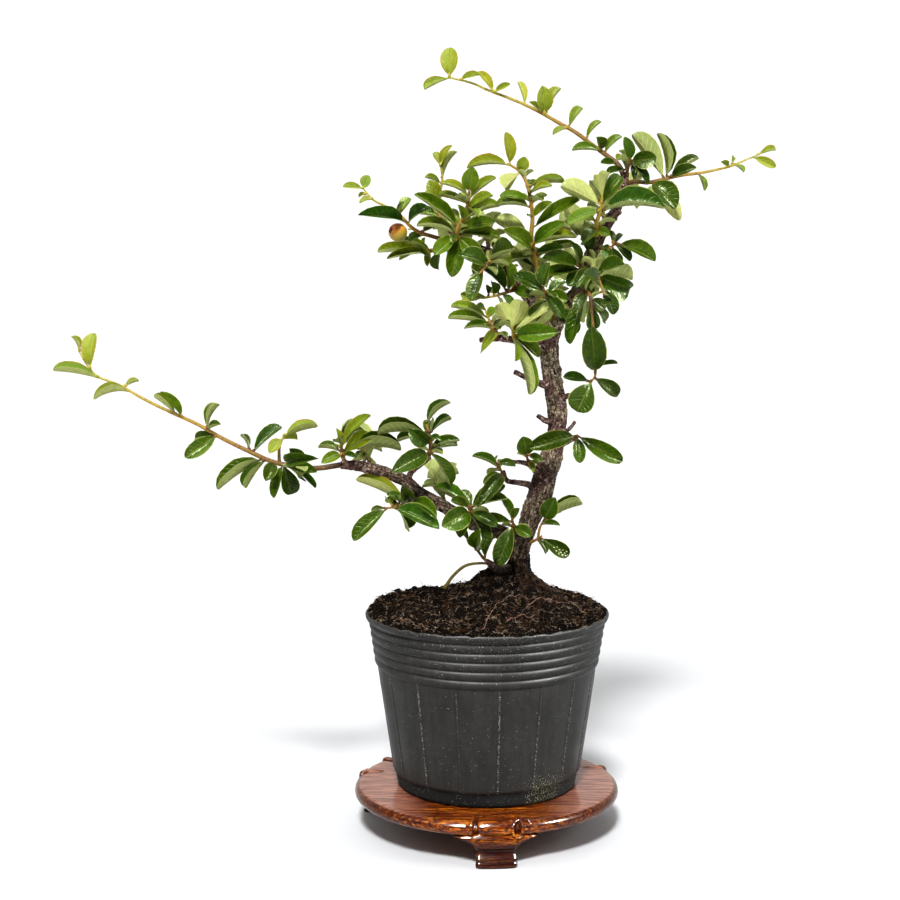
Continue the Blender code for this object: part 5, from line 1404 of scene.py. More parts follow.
LOOK_SEED = 700
stems_by_node = {}
for number, (stem, leaves) in enumerate(zip(stems, placed)):
    draw = random.Random(LOOK_SEED + number)
    stems_by_node.setdefault(stem[0], []).append((stem, leaves, draw))
shoot_inputs = {
    "Leaf Shapes": leaf_shapes, "Bud": bud, "Stem Sides": 8, "Stem Finish": young_bark,
    "Upper Finish": leaf_upper, "Under Finish": leaf_under,
}
for node, node_stems in stems_by_node.items():
    shoot = grow(shoot_guide("guide", node_stems), shoot_tree, "leaves_" + node, shoot_inputs)
    finished(shoot, "young leaf" if node in YOUNG_SHOOTS else "leaf", node)
drop_shapes(leaf_shapes)
bpy.data.objects.remove(bud, do_unlink=True)
print(len(stems_by_node), "shoots are grown")

# %% [markdown]
# ## A flecked leaf
# One leaf beside the trunk's foot is flecked with pale grains on its outer half. Each grain is placed
# on the leaf's map, as a share across and along it, and dropped onto the leaf's upper side.

# %% Pale grains on a leaf
FLECKED_LEAF = (40.5, 139)
LEAF_GRAINS = (
    (0.20, 0.50), (-0.15, 0.58), (0.42, 0.62), (0.05, 0.67), (0.58, 0.73), (0.25, 0.75), (-0.20, 0.77),
    (0.45, 0.83), (0.05, 0.85), (-0.30, 0.88), (0.28, 0.92), (0.0, 0.95),
)


def flecked_leaf():
    """The place that the flecked leaf took."""
    for leaves in placed:
        for leaf, place in leaves:
            if leaf and leaf[1:3] == FLECKED_LEAF:
                return place


shoot_mesh = bpy.data.objects["leaves_shoot_base_right"].data
shoot_skin = tree_of(
    [vertex.co for vertex in shoot_mesh.vertices], [tuple(face.vertices) for face in shoot_mesh.polygons],
)
base, tip, normal, width, _ = flecked_leaf()
side = (tip - base).normalized().cross(normal).normalized()
grain_work = bmesh.new()
for across, along in LEAF_GRAINS:
    above = base.lerp(tip, along) + side * across * 0.5 * width + normal * 5.0
    landed = shoot_skin.ray_cast(in_place(above), -normal.normalized())[0]
    if landed:
        grain = bmesh.ops.create_icosphere(grain_work, subdivisions=1, radius=0.42 * MM)["verts"]
        bmesh.ops.scale(grain_work, vec=(1.3, 0.6, 0.9), verts=grain)
        bmesh.ops.translate(grain_work, vec=landed, verts=grain)
grain_mesh = bpy.data.meshes.new("leaf_grains")
grain_work.to_mesh(grain_mesh)
grain_work.free()
grain_mesh.shade_smooth()
leaf_grains = shown("leaf_grains", grain_mesh)
print(len(LEAF_GRAINS), "grains on a leaf")

# %% Finish of the grains
grain_finish, tree, shader, coordinates = new_finish("pale grains")
chalk = cloud(coordinates, 2600.0, 2.0)
surface(shader, blend(chalk, paint(250, 246, 214), paint(206, 196, 146)), relief(chalk, 0.0001, 0.6), 0.5)
grain_mesh.materials.append(grain_finish)
finished(leaf_grains, "leaf")

# %% [markdown]
# ## The pot
# A nursery pot is moulded from soft charcoal film: a torn rim, a lip, five round ribs that stiffen the top, a
# smooth wall with sixteen creases from its mould, and a foot that folds in. It is a revolved profile with
# a wall, and extra columns of points at each crease, so that the creases stay sharp.

# %% Pot sizes
STAND_TOP = 23.2
POT_BASE = 23.5
POT_RIM = 113.0
RIM_RADIUS = 60.0
WALL = 0.9
FOOT_RADIUS = 46.5
FOOT_LEVEL = 31.0
WALL_SLOPE = 0.1436
RIB_COUNT = 5
RIB_TOP = 108.7
RIB_PITCH = 4.68
RIB_DEPTH = 1.2
RIM_LEAN = 4.6
LEAN_FROM = 80.0
CREASE_COUNT = 16
CREASE_PITCH = 360.0 / CREASE_COUNT
CREASE_OFFSET = 5.9
SEAM_ANGLE = 16.5


def wall_radius(z):
    """The outer radius of the pot's wall, which its ribs stand out from."""
    return FOOT_RADIUS + (z - FOOT_LEVEL) * WALL_SLOPE


def rim_drop(y, z):
    """How far the soft rim leans down towards the back."""
    share = max(0.0, (z - LEAN_FROM) / (POT_RIM - LEAN_FROM))
    return RIM_LEAN * share * (y + RIM_RADIUS) / (2 * RIM_RADIUS)


def columns(marks, count=96, near=(-1.6, -0.8, -0.35, 0.0, 0.35, 0.8, 1.6)):
    """Angles in degrees, evenly spread, with extra ones close to each mark."""
    angles = {round(360.0 * i / count, 3) for i in range(count)}
    for mark in marks:
        angles = {angle for angle in angles if abs((angle - mark + 180.0) % 360.0 - 180.0) > 1.7}
        angles |= {round((mark + step) % 360.0, 3) for step in near}
    return sorted(angles)


def revolved(name, profile, angles, place):
    """A closed skin of a profile taken round the pot's axis. place(radius, z, angle) gives each point."""
    rings = [[place(radius, z, math.radians(angle)) for angle in angles] for radius, z in profile]
    count = len(angles)
    points = [point for ring in rings for point in ring]
    faces = []
    for i in range(len(rings)):
        below = (i + 1) % len(rings)
        for j in range(count):
            k = (j + 1) % count
            faces.append((i * count + j, i * count + k, below * count + k, below * count + j))
    return mesh_piece(name, points, faces)


print("the pot's wall at its band is", round(wall_radius(85.0), 1), "mm from its axis")

# %% The pot's profile
RIB_PROFILE = 9


def pot_profile():
    """Down the outer side, under the foot and up inside, as (radius, z)."""
    lip = ((-0.25, 0.15), (0.1, 0.0), (0.45, -0.7), (0.25, -1.8), (-0.25, -3.0))
    outer = [(RIM_RADIUS + out, POT_RIM + up) for out, up in lip]
    for rib in range(RIB_COUNT):
        top = RIB_TOP - rib * RIB_PITCH
        for i in range(RIB_PROFILE):
            share = i / RIB_PROFILE
            z = top - RIB_PITCH * share
            outer.append((wall_radius(z) + RIB_DEPTH * math.sin(math.pi * share) ** 0.7 - 0.1, z))
    low = RIB_TOP - RIB_COUNT * RIB_PITCH
    outer += [(wall_radius(low) - 0.1, low), (wall_radius(low) - 0.05, low - 0.6)]
    outer += [(wall_radius(z), z) for z in (78.0, 70.0, 62.0, 54.0, 46.0, 39.0, 34.0)]
    outer += [(FOOT_RADIUS + 0.35, 32.6), (FOOT_RADIUS + 0.2, 31.8), (FOOT_RADIUS - 0.4, FOOT_LEVEL)]
    outer += [(45.5, 29.4), (45.1, 27.4), (44.7, 25.4), (44.3, 24.2)]
    outer += [(43.7, POT_BASE + 0.05), (42.6, POT_BASE)]
    inner = [(43.0, POT_BASE + WALL), (FOOT_RADIUS - WALL - 0.2, FOOT_LEVEL)]
    inner += [(wall_radius(RIB_TOP) - WALL, RIB_TOP), (RIM_RADIUS - WALL, POT_RIM - 0.8)]
    inner += [(RIM_RADIUS - 0.7, POT_RIM + 0.1)]
    return [*outer, (5.0, POT_BASE), (5.0, POT_BASE + WALL), *inner]


print("the pot's profile has", len(pot_profile()), "points")

# %% The soft wall
def pot_place(radius, z, angle):
    """Where a point of the profile lies, with the leaning torn rim, the creases and the soft wall."""
    half_pitch = 0.5 * CREASE_PITCH
    crease = (math.degrees(angle) - CREASE_OFFSET + half_pitch) % CREASE_PITCH - half_pitch
    on_wall = clamped((84.6 - z) / 1.5) * clamped((z - 30.5) / 2.0)
    outer = radius > wall_radius(min(z, POT_RIM)) - 0.5
    if outer and radius > 30:
        bulge = -0.28 * math.cos(math.radians(CREASE_COUNT * crease))
        radius += on_wall * (0.34 * math.exp(-((crease / 0.36) ** 2)) + bulge + 0.1)
    sway = noise.noise(Vector((2.2 * math.cos(angle), 2.2 * math.sin(angle), z * 0.03)))
    radius += 0.35 * sway * clamped((z - 40) / 30)
    if z > POT_RIM - 1.0:
        torn = noise.noise(Vector((19.0 * math.cos(angle), 19.0 * math.sin(angle), 4.0)))
        z += 0.9 * torn * (z - POT_RIM + 1.0)
    x = radius * math.sin(angle)
    y = -radius * math.cos(angle)
    return Vector((x, y, z - rim_drop(y, z)))


crease_marks = [(CREASE_OFFSET + CREASE_PITCH * i) % 360.0 for i in range(CREASE_COUNT)]
pot_angles = columns([*crease_marks, SEAM_ANGLE], 144)
pot = revolved("nursery_pot", pot_profile(), pot_angles, pot_place)
print("the pot's skin has", len(pot_angles), "columns")

# %% [markdown]
# ## Pot plastic
# Recycled film plastic is not quite black. It has a waxy sheen, faint flow marks that run down, pale dust
# along the creases and a spill of dried compost low on the right. Painted shade darkens the sides of each
# crease and the foot that folds in. Places on the pot are read as a direction round its axis and a height,
# which a Mapping node centres on that axis.

# %% Pot finish
charcoal_film, tree, shader, coordinates = new_finish("charcoal film")
centred = add(tree, "ShaderNodeMapping", {"Vector": coordinates, "Location": -POT_AXIS * MM}).outputs[0]
axes = xyz(centred)
degrees = times(calc("ARCTAN2", axes["X"], times(axes["Y"], -1.0)), 180.0 / math.pi)
past_crease = calc("FLOORED_MODULO", minus(degrees, CREASE_OFFSET - 0.5 * CREASE_PITCH), CREASE_PITCH)
from_crease = calc("ABSOLUTE", minus(past_crease, 0.5 * CREASE_PITCH))
from_seam = calc("ABSOLUTE", minus(degrees, SEAM_ANGLE))
height_mm = times(axes["Z"], 1000.0)
flow = cloud(stretched(centred, 260.0, 260.0, 30.0), 1.0, 4.0, 0.6)
grit = cloud(centred, 1150.0, 2.0, 0.6)
smear = cloud(centred, 60.0, 4.0, 0.65)
tone = blend(spread(flow, 0.3, 0.7), paint(38, 37, 35), paint(50, 48, 45))
tone = stain(tone, spread(smear, 0.45, 0.75, 0.0, 0.35), (54, 53, 49))
# Painted shade: the foot that folds in under the pot is painted nearly black.
tone = stain(tone, spread(height_mm, 32.0, 30.6, 0.0, 0.95), (5, 5, 5))
tone = stain(tone, spread(cloud(centred, 260.0, 5.0, 0.7), 0.35, 0.65, 0.0, 0.3), (20, 20, 20))
print("plastic:", len(tree.nodes), "nodes")

# %% Dust and painted crease shade on the pot
wall_part = times(spread(height_mm, 85.5, 84.0), spread(height_mm, 27.0, 32.0))
crease_dust = times(spread(from_crease, 0.85, 0.25), wall_part)
crease_dust = times(crease_dust, spread(grit, 0.52, 0.60))
dusty = spread(cloud(stretched(centred, 45.0, 45.0, 12.0), 1.0, 1.0), 0.42, 0.6, 0.12, 0.75)
tone = stain(tone, times(crease_dust, dusty), (150, 147, 134))
# Painted shade beside each crease's ridge.
crease_shade = times(spread(calc("ABSOLUTE", minus(from_crease, 0.8)), 0.5, 0.1), wall_part)
tone = stain(tone, crease_shade, (24, 23, 22), 0.55)
seam_dark = times(spread(from_seam, 0.5, 0.2), spread(height_mm, 84.0, 86.0))
tone = stain(tone, seam_dark, (22, 21, 20), 0.7)
spill = times(spread(calc("ABSOLUTE", minus(degrees, 38.0)), 26.0, 6.0), spread(height_mm, 47.0, 29.0))
foot_dust = spread(height_mm, 36.0, 28.0, 0.0, 0.3)
dust = calc("MAXIMUM", spill, foot_dust)
rim_dust = spread(height_mm, 82.0, 112.0, 0.1, 0.45)
dust = calc("MAXIMUM", dust, rim_dust)
specks = cloud(centred, 1700.0, 1.0)
speck_level = minus(0.775, times(dust, 0.19))
speck_mark = spread(minus(specks, speck_level), 0.0, 0.03)
speck_colour = blend(spill, paint(184, 180, 170), paint(150, 152, 104))
tone = blend(times(speck_mark, 0.85), tone, speck_colour)
dent = plus(times(flow, 0.5), times(smear, 0.7))
dull = plus(spread(smear, 0.3, 0.7, 0.44, 0.58), times(speck_mark, 0.3))
dull = calc("MAXIMUM", dull, spread(height_mm, 31.5, 30.5, 0.0, 0.9))
surface(shader, tone, relief(dent, 0.0003, 0.4), dull, 0.27)
pot.data.materials.append(charcoal_film)
finished(pot, "pot plastic", "pot")

# %% [markdown]
# ## Compost
# The compost is dark and fibrous. It rises in a mound round the trunk and falls to the back with the rim. A
# polar grid follows its height, and noise at three sizes makes it lumpy. Its skin closes under the surface,
# inside the pot.

# %% Height of the compost
SOIL_LEVEL = 111.6
SOIL_FALL = 1.6
MOUND_X = 9.0
MOUND_HEIGHT = 21.0
MOUND_SPREAD = 22.0
SOIL_EDGE = 58.7


def soil_height(x, y):
    """The soil falls to the back with the rim and rises in a mound round the trunk."""
    away = math.hypot(x - MOUND_X, y)
    mound = MOUND_HEIGHT / (1 + (away / MOUND_SPREAD) ** 3)
    waves = 0.7 * math.sin(0.23 * x + 1.0) * math.cos(0.19 * y) + 0.4 * math.sin(0.5 * x - 0.41 * y)
    return SOIL_LEVEL - SOIL_FALL * (y + RIM_RADIUS) / (2 * RIM_RADIUS) + mound + waves * min(1.0, away / 30)


def lumpy(x, y):
    lumps = 1.3 * noise.noise(Vector((x * 0.16, y * 0.16, 1.0)))
    lumps += 1.2 * noise.noise(Vector((x * 0.42, y * 0.42, 5.0)))
    return lumps + 0.8 * noise.noise(Vector((x * 1.1, y * 1.1, 9.0)))


def compost_height(x, y):
    """The soil's height with its lumps. Close to the wall it meets the leaning rim."""
    away = math.hypot(x, y)
    to_wall = clamped((away - 52.5) / (SOIL_EDGE - 52.5)) ** 2
    open_level = soil_height(x, y) + lumpy(x, y) + 0.4
    rim_level = POT_RIM - rim_drop(y, POT_RIM) - 0.5 + 0.4 * lumpy(2.0 * x, 2.0 * y)
    heap = clamped(-(x + 22.0) / 22.0) * clamped((y + 25.0) / 30.0)
    clods = 1.0 + 1.4 * noise.noise(Vector((x * 0.3, y * 0.3, 2.0)))
    return open_level + (rim_level - open_level) * to_wall + 1.7 * heap * clods


print("the mound is", round(compost_height(MOUND_X, 0.0)), "mm up")

# %% The compost's skin
COMPOST_COLUMNS = 168
COMPOST_ROWS = 60
COMPOST_STEP = 0.98


def compost_ring(radius, z=None):
    """A ring of the surface, or of the level z."""
    slide = MOUND_X * (1 - (radius / RIM_RADIUS) ** 2)
    ring = []
    for i in range(COMPOST_COLUMNS):
        angle = 2 * math.pi * i / COMPOST_COLUMNS
        x = (slide if z is None else 0.0) + radius * math.cos(angle)
        y = radius * math.sin(angle)
        ring.append(Vector((x, y, compost_height(x, y) if z is None else z)))
    return ring


inner_wall = ((42.0, POT_BASE + 1.2), (44.6, FOOT_LEVEL), (55.0, 104.0))
compost_rings = [compost_ring(radius, level) for radius, level in inner_wall]
compost_rings += [compost_ring(SOIL_EDGE - COMPOST_STEP * i) for i in range(COMPOST_ROWS)]
compost = mesh_piece("compost", *skin(compost_rings, Vector((MOUND_X, 0.0, compost_height(MOUND_X, 0.0)))))
print("the compost's skin has", len(compost_rings), "rings")

# %% Compost finish
def compost_finish(name, dark, light, light_share, odd=None):
    """Moist organic matter: dark, with a share of it lighter, odd bits, and painted shade from the mound up.
    """
    material, tree, shader, coordinates = new_finish(name)
    coarse = cloud(coordinates, 380.0, 5.0, 0.7)
    fine = cloud(coordinates, 1500.0, 3.0, 0.6)
    tone = blend(spread(coarse, 0.44, 0.58), dark, light)
    tone = stain(tone, spread(fine, 0.60, 0.66, 0.0, light_share), (168, 138, 104))
    if odd:
        drift = cloud(coordinates, 160.0, 2.0)
        tone = blend(spread(drift, 0.56, 0.66, 0.0, 0.8), tone, odd)
    # Painted shade: darker from the mound's foot upwards, on every part with this finish that lies that high.
    tone = stain(tone, spread(xyz(coordinates)["Z"], 0.116, 0.132, 0.0, 0.5), (8, 6, 5))
    surface(shader, tone, relief(plus(coarse, fine), 0.0009), spread(fine, 0.3, 0.7, 0.95, 0.62), 0.02)
    return material


compost_dark = compost_finish("moist compost", paint(4, 3, 3), paint(22, 16, 12), 0.3)
compost.data.materials.append(compost_dark)
finished(compost, "soil", "soil")

# %% [markdown]
# ## Crumbs and fibres
# What makes compost look like compost is the litter on it: crumbs of bark, fine fibres that lie in all
# directions, and a few pale straws. A Geometry Nodes tree scatters small shapes over the top of the compost,
# from a density and a seed, and turns each one with the surface and then at random.

# %% Where litter lies
scatter_tree, given, result = node_group("litter on compost", {
    "Shapes": "Collection", "Density": "Float", "Seed": "Int", "Smallest": "Float", "Largest": "Float",
    "Tilt": "Float", "Within": "Float", "Below": "Float", "Finish": "Material",
})
surface_up = xyz(add(scatter_tree, "GeometryNodeInputNormal").outputs["Normal"])["Z"]
surface_place = add(scatter_tree, "GeometryNodeInputPosition").outputs[0]
from_axis = vector_calc("ADD", surface_place, -POT_AXIS * MM)[0]
pot_reach = vector_calc("LENGTH", vector_calc("MULTIPLY", from_axis, (1.0, 1.0, 0.0))[0])["Value"]
open_air = times(calc("GREATER_THAN", surface_up, 0.15), calc("LESS_THAN", pot_reach, given["Within"]))
open_air = times(open_air, calc("LESS_THAN", xyz(surface_place)["Z"], given["Below"]))
scattered = add(scatter_tree, "GeometryNodeDistributePointsOnFaces", {
    "Mesh": given["Geometry"], "Selection": open_air, "Density": given["Density"], "Seed": given["Seed"],
}).outputs
litter_shapes = add(scatter_tree, "GeometryNodeCollectionInfo", {
    "Collection": given["Shapes"], "Separate Children": True, "Reset Children": True,
}).outputs[0]
print("litter lies where the surface is open and looks up")

# %% Turn and size of the litter
def drawn(kind, low, high, seed, extra):
    """Random values between two limits, from the tree's seed and a number of their own."""
    made = add(home(seed), "FunctionNodeRandomValue", data_type=kind)
    sockets = [socket for socket in made.inputs if socket.enabled]
    put(low, sockets[0])
    put(high, sockets[1])
    put(plus(seed, extra), made.inputs["Seed"])
    return next(socket for socket in made.outputs if socket.enabled)


tilt, back_tilt = given["Tilt"], times(given["Tilt"], -1.0)
tilt_low = add(scatter_tree, "ShaderNodeCombineXYZ", {"X": back_tilt, "Y": back_tilt}).outputs[0]
tilt_high = add(scatter_tree, "ShaderNodeCombineXYZ", {"X": tilt, "Y": tilt, "Z": 6.283}).outputs[0]
random_turn = drawn("FLOAT_VECTOR", tilt_low, tilt_high, given["Seed"], 1.0)
random_size = drawn("FLOAT", given["Smallest"], given["Largest"], given["Seed"], 2.0)
litter = add(scatter_tree, "GeometryNodeInstanceOnPoints", {
    "Points": scattered["Points"], "Instance": litter_shapes, "Pick Instance": True,
    "Rotation": scattered["Rotation"], "Scale": random_size,
}).outputs[0]
litter = add(scatter_tree, "GeometryNodeRotateInstances", {
    "Instances": litter, "Rotation": random_turn, "Local Space": True,
}).outputs[0]
litter = add(scatter_tree, "GeometryNodeRealizeInstances", {"Geometry": litter}).outputs[0]
litter = add(scatter_tree, "GeometryNodeSetMaterial", {"Geometry": litter, "Material": given["Finish"]})
put(litter.outputs[0], result["Geometry"])
print("the scattering tree has", len(scatter_tree.nodes), "nodes")

# %% Litter shapes
LITTER_SEED = 31
FIBRE_JOINTS = 7


def crumb_shape(name, draw, stretch):
    """A small uneven lump, about one across."""
    mesh = bpy.data.meshes.new(name)
    work = bmesh.new()
    bmesh.ops.create_icosphere(work, subdivisions=1, radius=0.5)
    for vertex in work.verts:
        vertex.co = Vector((vertex.co.x * stretch, vertex.co.y, vertex.co.z * 0.75)) * draw.uniform(0.7, 1.25)
    work.to_mesh(mesh)
    work.free()
    return bpy.data.objects.new(name, mesh)


def fibre_shape(name, draw, curl, thickness):
    """A three-sided fibre one long, that curls over the surface."""
    heading = draw.uniform(0, 6)
    bend = draw.uniform(-curl, curl)
    place = Vector((-0.5, 0.0, 0.02))
    rings = []
    for i in range(FIBRE_JOINTS + 1):
        share = i / FIBRE_JOINTS
        radius = thickness * (1.0 - 0.7 * share)
        ring_turn = Matrix.Rotation(heading - 3, 3, "Z")
        ring = [Vector((0, math.cos(a), math.sin(a))) * radius for a in (0.5, 2.6, 4.7)]
        rings.append([place + ring_turn @ point for point in ring])
        heading += bend / FIBRE_JOINTS + draw.uniform(-0.7, 0.7)
        place = place + Matrix.Rotation(heading - 3, 3, "Z") @ Vector((1 / FIBRE_JOINTS, 0, 0))
        place.z = 0.03 + 0.13 * math.sin(3.14 * share) * draw.uniform(0.3, 1.0)
    return bpy.data.objects.new(name, outward_mesh(name, *skin(rings)))


litter_draw = random.Random(LITTER_SEED)
crumbs = bpy.data.collections.new("crumbs")
for number in range(5):
    crumbs.objects.link(crumb_shape(f"crumb_{number}", litter_draw, litter_draw.uniform(0.9, 2.0)))
fibres = bpy.data.collections.new("fibres")
for number in range(8):
    fibres.objects.link(fibre_shape(f"fibre_{number}", litter_draw, 2.8, 0.04))
faces_each = [len(shapes.objects[0].data.polygons) for shapes in (crumbs, fibres)]
print("a crumb and a fibre have", faces_each, "faces")

# %% A piece of litter
def litter_piece(name, shapes, density, seed, sizes, tilt, reach, finish):
    """A scattering over a copy of the compost."""
    source = shown(name + "_bed", compost.data.copy())
    values = {
        "Shapes": shapes, "Density": density, "Seed": seed, "Smallest": sizes[0] * MM,
        "Largest": sizes[1] * MM, "Tilt": tilt, "Within": reach[0] * MM, "Below": reach[1] * MM,
        "Finish": finish,
    }
    finished(grow(source, scatter_tree, name, values), "soil")


print("a litter piece is grown on a copy of the compost")

# %% Crumbs, fibres and straws
crumb_dark = compost_finish("bark crumbs", paint(3, 2, 2), paint(26, 21, 18), 0.5, paint(58, 38, 26))
crumb_light = compost_finish("fine crumbs", paint(6, 5, 4), paint(176, 154, 126), 0.9, paint(130, 134, 72))
fibre_brown = compost_finish("brown fibres", paint(8, 6, 5), paint(166, 140, 120), 0.6, paint(116, 88, 70))
fibre_grey = compost_finish("grey fibres", paint(40, 33, 28), paint(236, 214, 192), 0.6, paint(196, 156, 116))
straw_pale = compost_finish("pale straws", paint(128, 106, 76), paint(200, 178, 146), 0.5)
litter_piece("compost_crumbs", crumbs, 190000.0, 3, (0.8, 2.8), 0.6, (58.3, 138.0), crumb_dark)
litter_piece("compost_fine_crumbs", crumbs, 150000.0, 8, (0.3, 0.9), 0.6, (58.5, 138.0), crumb_light)
litter_piece("compost_fibres", fibres, 170000.0, 5, (2.2, 6.0), 0.3, (56.5, 140.0), fibre_brown)
litter_piece("compost_grey_fibres", fibres, 110000.0, 9, (2.0, 5.0), 0.3, (56.0, 138.0), fibre_grey)
litter_piece("compost_raised_fibres", fibres, 22000.0, 14, (2.5, 6.0), 0.95, (56.5, 136.0), fibre_brown)
litter_piece("compost_straws", fibres, 1600.0, 6, (4.0, 9.0), 0.2, (53.5, 118.0), straw_pale)
drop_shapes(crumbs)
drop_shapes(fibres)

# %% [markdown]
# ## Surface roots
# Fine roots run down from the trunk over the mound and hold it together. They are routes that start at the
# trunk, follow the compost's height and wander a little, and the shoot tree turns them into round stems,
# because a guide without loose points grows no leaves.

# %% Roots over the mound
ROOT_SEED = 12
ROOT_COUNT = 60
ROOT_STEP = 2.2


def root_route(draw, direction, length):
    """Points from the trunk's foot down over the mound."""
    x = 15.5 + 5.0 * math.cos(direction)
    y = 5.0 * math.sin(direction)
    start = Vector((16.2 + 4.1 * math.cos(direction), 4.1 * math.sin(direction), draw.uniform(135.0, 140.0)))
    points = [start, Vector((x, y, compost_height(x, y) + draw.uniform(2.0, 3.5)))]
    heading = direction
    while len(points) < length:
        heading += draw.uniform(-0.4, 0.4)
        x += ROOT_STEP * math.cos(heading)
        y += ROOT_STEP * math.sin(heading)
        points.append(Vector((x, y, compost_height(x, y) + draw.uniform(0.2, 1.1))))
    points.append(points[-1] - Vector((0, 0, 2.0)))
    return points


def stem_piece(name, stems, sides, finish):
    """Bare stems as one piece, grown by the shoot tree."""
    return grow(shoot_guide("guide", stems), shoot_tree, name, {"Stem Sides": sides, "Stem Finish": finish})


root_draw = random.Random(ROOT_SEED)
root_stems = []
for number in range(ROOT_COUNT):
    direction = 2 * math.pi * number / ROOT_COUNT + root_draw.uniform(-0.1, 0.1)
    route = root_route(root_draw, direction, root_draw.randrange(5, 14))
    thickness = root_draw.uniform(0.4, 1.2) * (0.75 + 0.35 * math.cos(direction))
    root_stems.append((("roots", route, thickness, 0.25, []), [], root_draw))
root_bark = compost_finish("root bark", paint(22, 16, 13), paint(100, 80, 68), 0.5, paint(84, 58, 44))
finished(stem_piece("surface_roots", root_stems, 6, root_bark), "bark")

# %% Roots laid bare
# Thin pale roots that lie on the compost, as (x, y) in millimetres from the pot's axis
LAID_ROOTS = (
    ((-3.5, -51.0), (0.0, -38.0), (3.5, -29.0), (7.6, -24.0), (14.6, -21.5), (20.0, -21.0)),
    ((-42.6, -26.5), (-39.3, -29.0), (-35.5, -34.5), (-31.8, -43.0), (-29.2, -50.0)),
    ((19.7, -25.0), (25.7, -18.0), (33.3, -13.0), (40.8, -12.5), (48.9, -21.0)),
    ((9.1, -42.0), (14.1, -34.5), (17.6, -32.5), (24.2, -37.0)),
)
laid_stems = []
for places in LAID_ROOTS:
    route = smooth_route([Vector((x, y, 0.0)) for x, y in places], 5)
    route = [Vector((point.x, point.y, compost_height(point.x, point.y) + 1.6)) for point in route]
    laid_stems.append((("roots", route, 0.25, 0.15, []), [], root_draw))
pale_bark = compost_finish("pale root bark", paint(150, 112, 98), paint(208, 172, 150), 0.3)
finished(stem_piece("laid_roots", laid_stems, 6, pale_bark), "bark")

# %% [markdown]
# ## The fruit
# One ripening fruit hangs at the end of the left branch. It is a small pome, like a tiny apple, olive and
# orange with a pink cheek, and it keeps the dried calyx of its flower in a dimple at its end. A sphere is
# drawn in at the dimple, and five small sepals stand round it.

# %% Fruit
FRUIT_AXIS = Vector((-0.80, -0.50, 0.34)).normalized()
FRUIT_COLUMNS = 36
fruit_frame = FRUIT_AXIS.to_track_quat("Z", "Y")
fruit_centre = on_front(*BERRY_CENTRE)


def fruit_point(turn, rise):
    """A point of the fruit, whose pole at 90 degrees has a dimple."""
    away = math.radians(90.0 - rise)
    radius = BERRY_RADIUS * (1.0 - 0.16 * math.exp(-((away / 0.34) ** 2)) + 0.02 * math.cos(2 * away))
    out = radius * math.sin(away)
    place = Vector((out * math.cos(turn), out * math.sin(turn), radius * math.cos(away)))
    return fruit_centre + fruit_frame @ place


turns = [2 * math.pi * i / FRUIT_COLUMNS for i in range(FRUIT_COLUMNS)]
fruit_rings = [[fruit_point(turn, rise) for turn in turns] for rise in range(-84, 90, 6)]
fruit = mesh_piece("fruit", *skin(fruit_rings, fruit_point(0.0, 90)))
print("the fruit has", len(fruit_rings), "rings")

# %% Skin of the fruit
fruit_skin, tree, shader, coordinates = new_finish("ripening fruit skin")
sides = xyz(vector_calc("SUBTRACT", coordinates, in_place(fruit_centre))[0])
lift = plus(times(sides["Z"], 85.0), times(sides["X"], -45.0))
blush = plus(plus(lift, 0.5), calc("MULTIPLY_ADD", cloud(coordinates, 420.0, 3.0), 0.5, -0.25))
tone = shades(blush, (0.05, 112, 106, 30), (0.38, 168, 146, 46), (0.62, 214, 150, 66), (0.9, 218, 120, 88))
freckles = spread(cloud(coordinates, 1500.0, 2.0), 0.6, 0.72, 0.0, 0.4)
tone = stain(tone, freckles, (96, 66, 34))
surface(shader, tone, relief(cloud(coordinates, 800.0, 3.0), 0.0002, 0.5), 0.36)
fruit.data.materials.append(fruit_skin)
finished(fruit, "berry", "berry")

# %% Calyx of the fruit
def sepal(turn):
    """A pointed flap that stands up from the dimple's rim and bends in."""
    rings = []
    for half, rise, away in ((0.55, 0.86, 0.30), (0.42, 1.02, 0.26), (0.2, 1.10, 0.16)):
        middle = Vector((away * BERRY_RADIUS, 0, rise * BERRY_RADIUS * 0.95))
        corners = ((0.1, -half, 0), (0.1, half, 0), (-0.1, half, 0), (-0.1, -half, 0))
        rings.append([middle + Vector(corner) for corner in corners])
    points, faces = skin(rings, Vector((0.08 * BERRY_RADIUS, 0, 1.1 * BERRY_RADIUS)))
    spin = Matrix.Rotation(turn, 3, "Z")
    return [fruit_centre + fruit_frame @ (spin @ point) for point in points], faces


calyx_points = []
calyx_faces = []
for number in range(5):
    points, faces = sepal(2 * math.pi * number / 5)
    calyx_faces += [tuple(index + len(calyx_points) for index in face) for face in faces]
    calyx_points += points
calyx = mesh_piece("fruit_calyx", calyx_points, calyx_faces)
calyx.data.materials.append(compost_finish("dry calyx", paint(128, 52, 62), paint(206, 128, 122), 0.4))
finished(calyx, "berry")

# %% [markdown]
# ## The stand
# The stand is one round board of hardwood on three carved feet, lacquered until it shines. The board's edge
# is a full bead. Over each foot two upright grooves part a block from the bead, with a small carved scroll
# beside the right one. The board is a revolved profile whose points are pushed in at the grooves, with extra
# columns there.

# %% Profile of the board
STAND_RADIUS = 66.0
STAND_UNDERSIDE = 15.4
BEAD_RADIUS = 61.4
BEAD_LEVEL = 19.3
BEAD_STEPS = 12
LEG_TURN = 3.5
LEG_HALF_WIDTH = 10.0
leg_angles = [LEG_TURN + 120.0 * leg for leg in range(3)]
groove_angle = math.degrees(math.asin(LEG_HALF_WIDTH / (STAND_RADIUS - 1.5)))


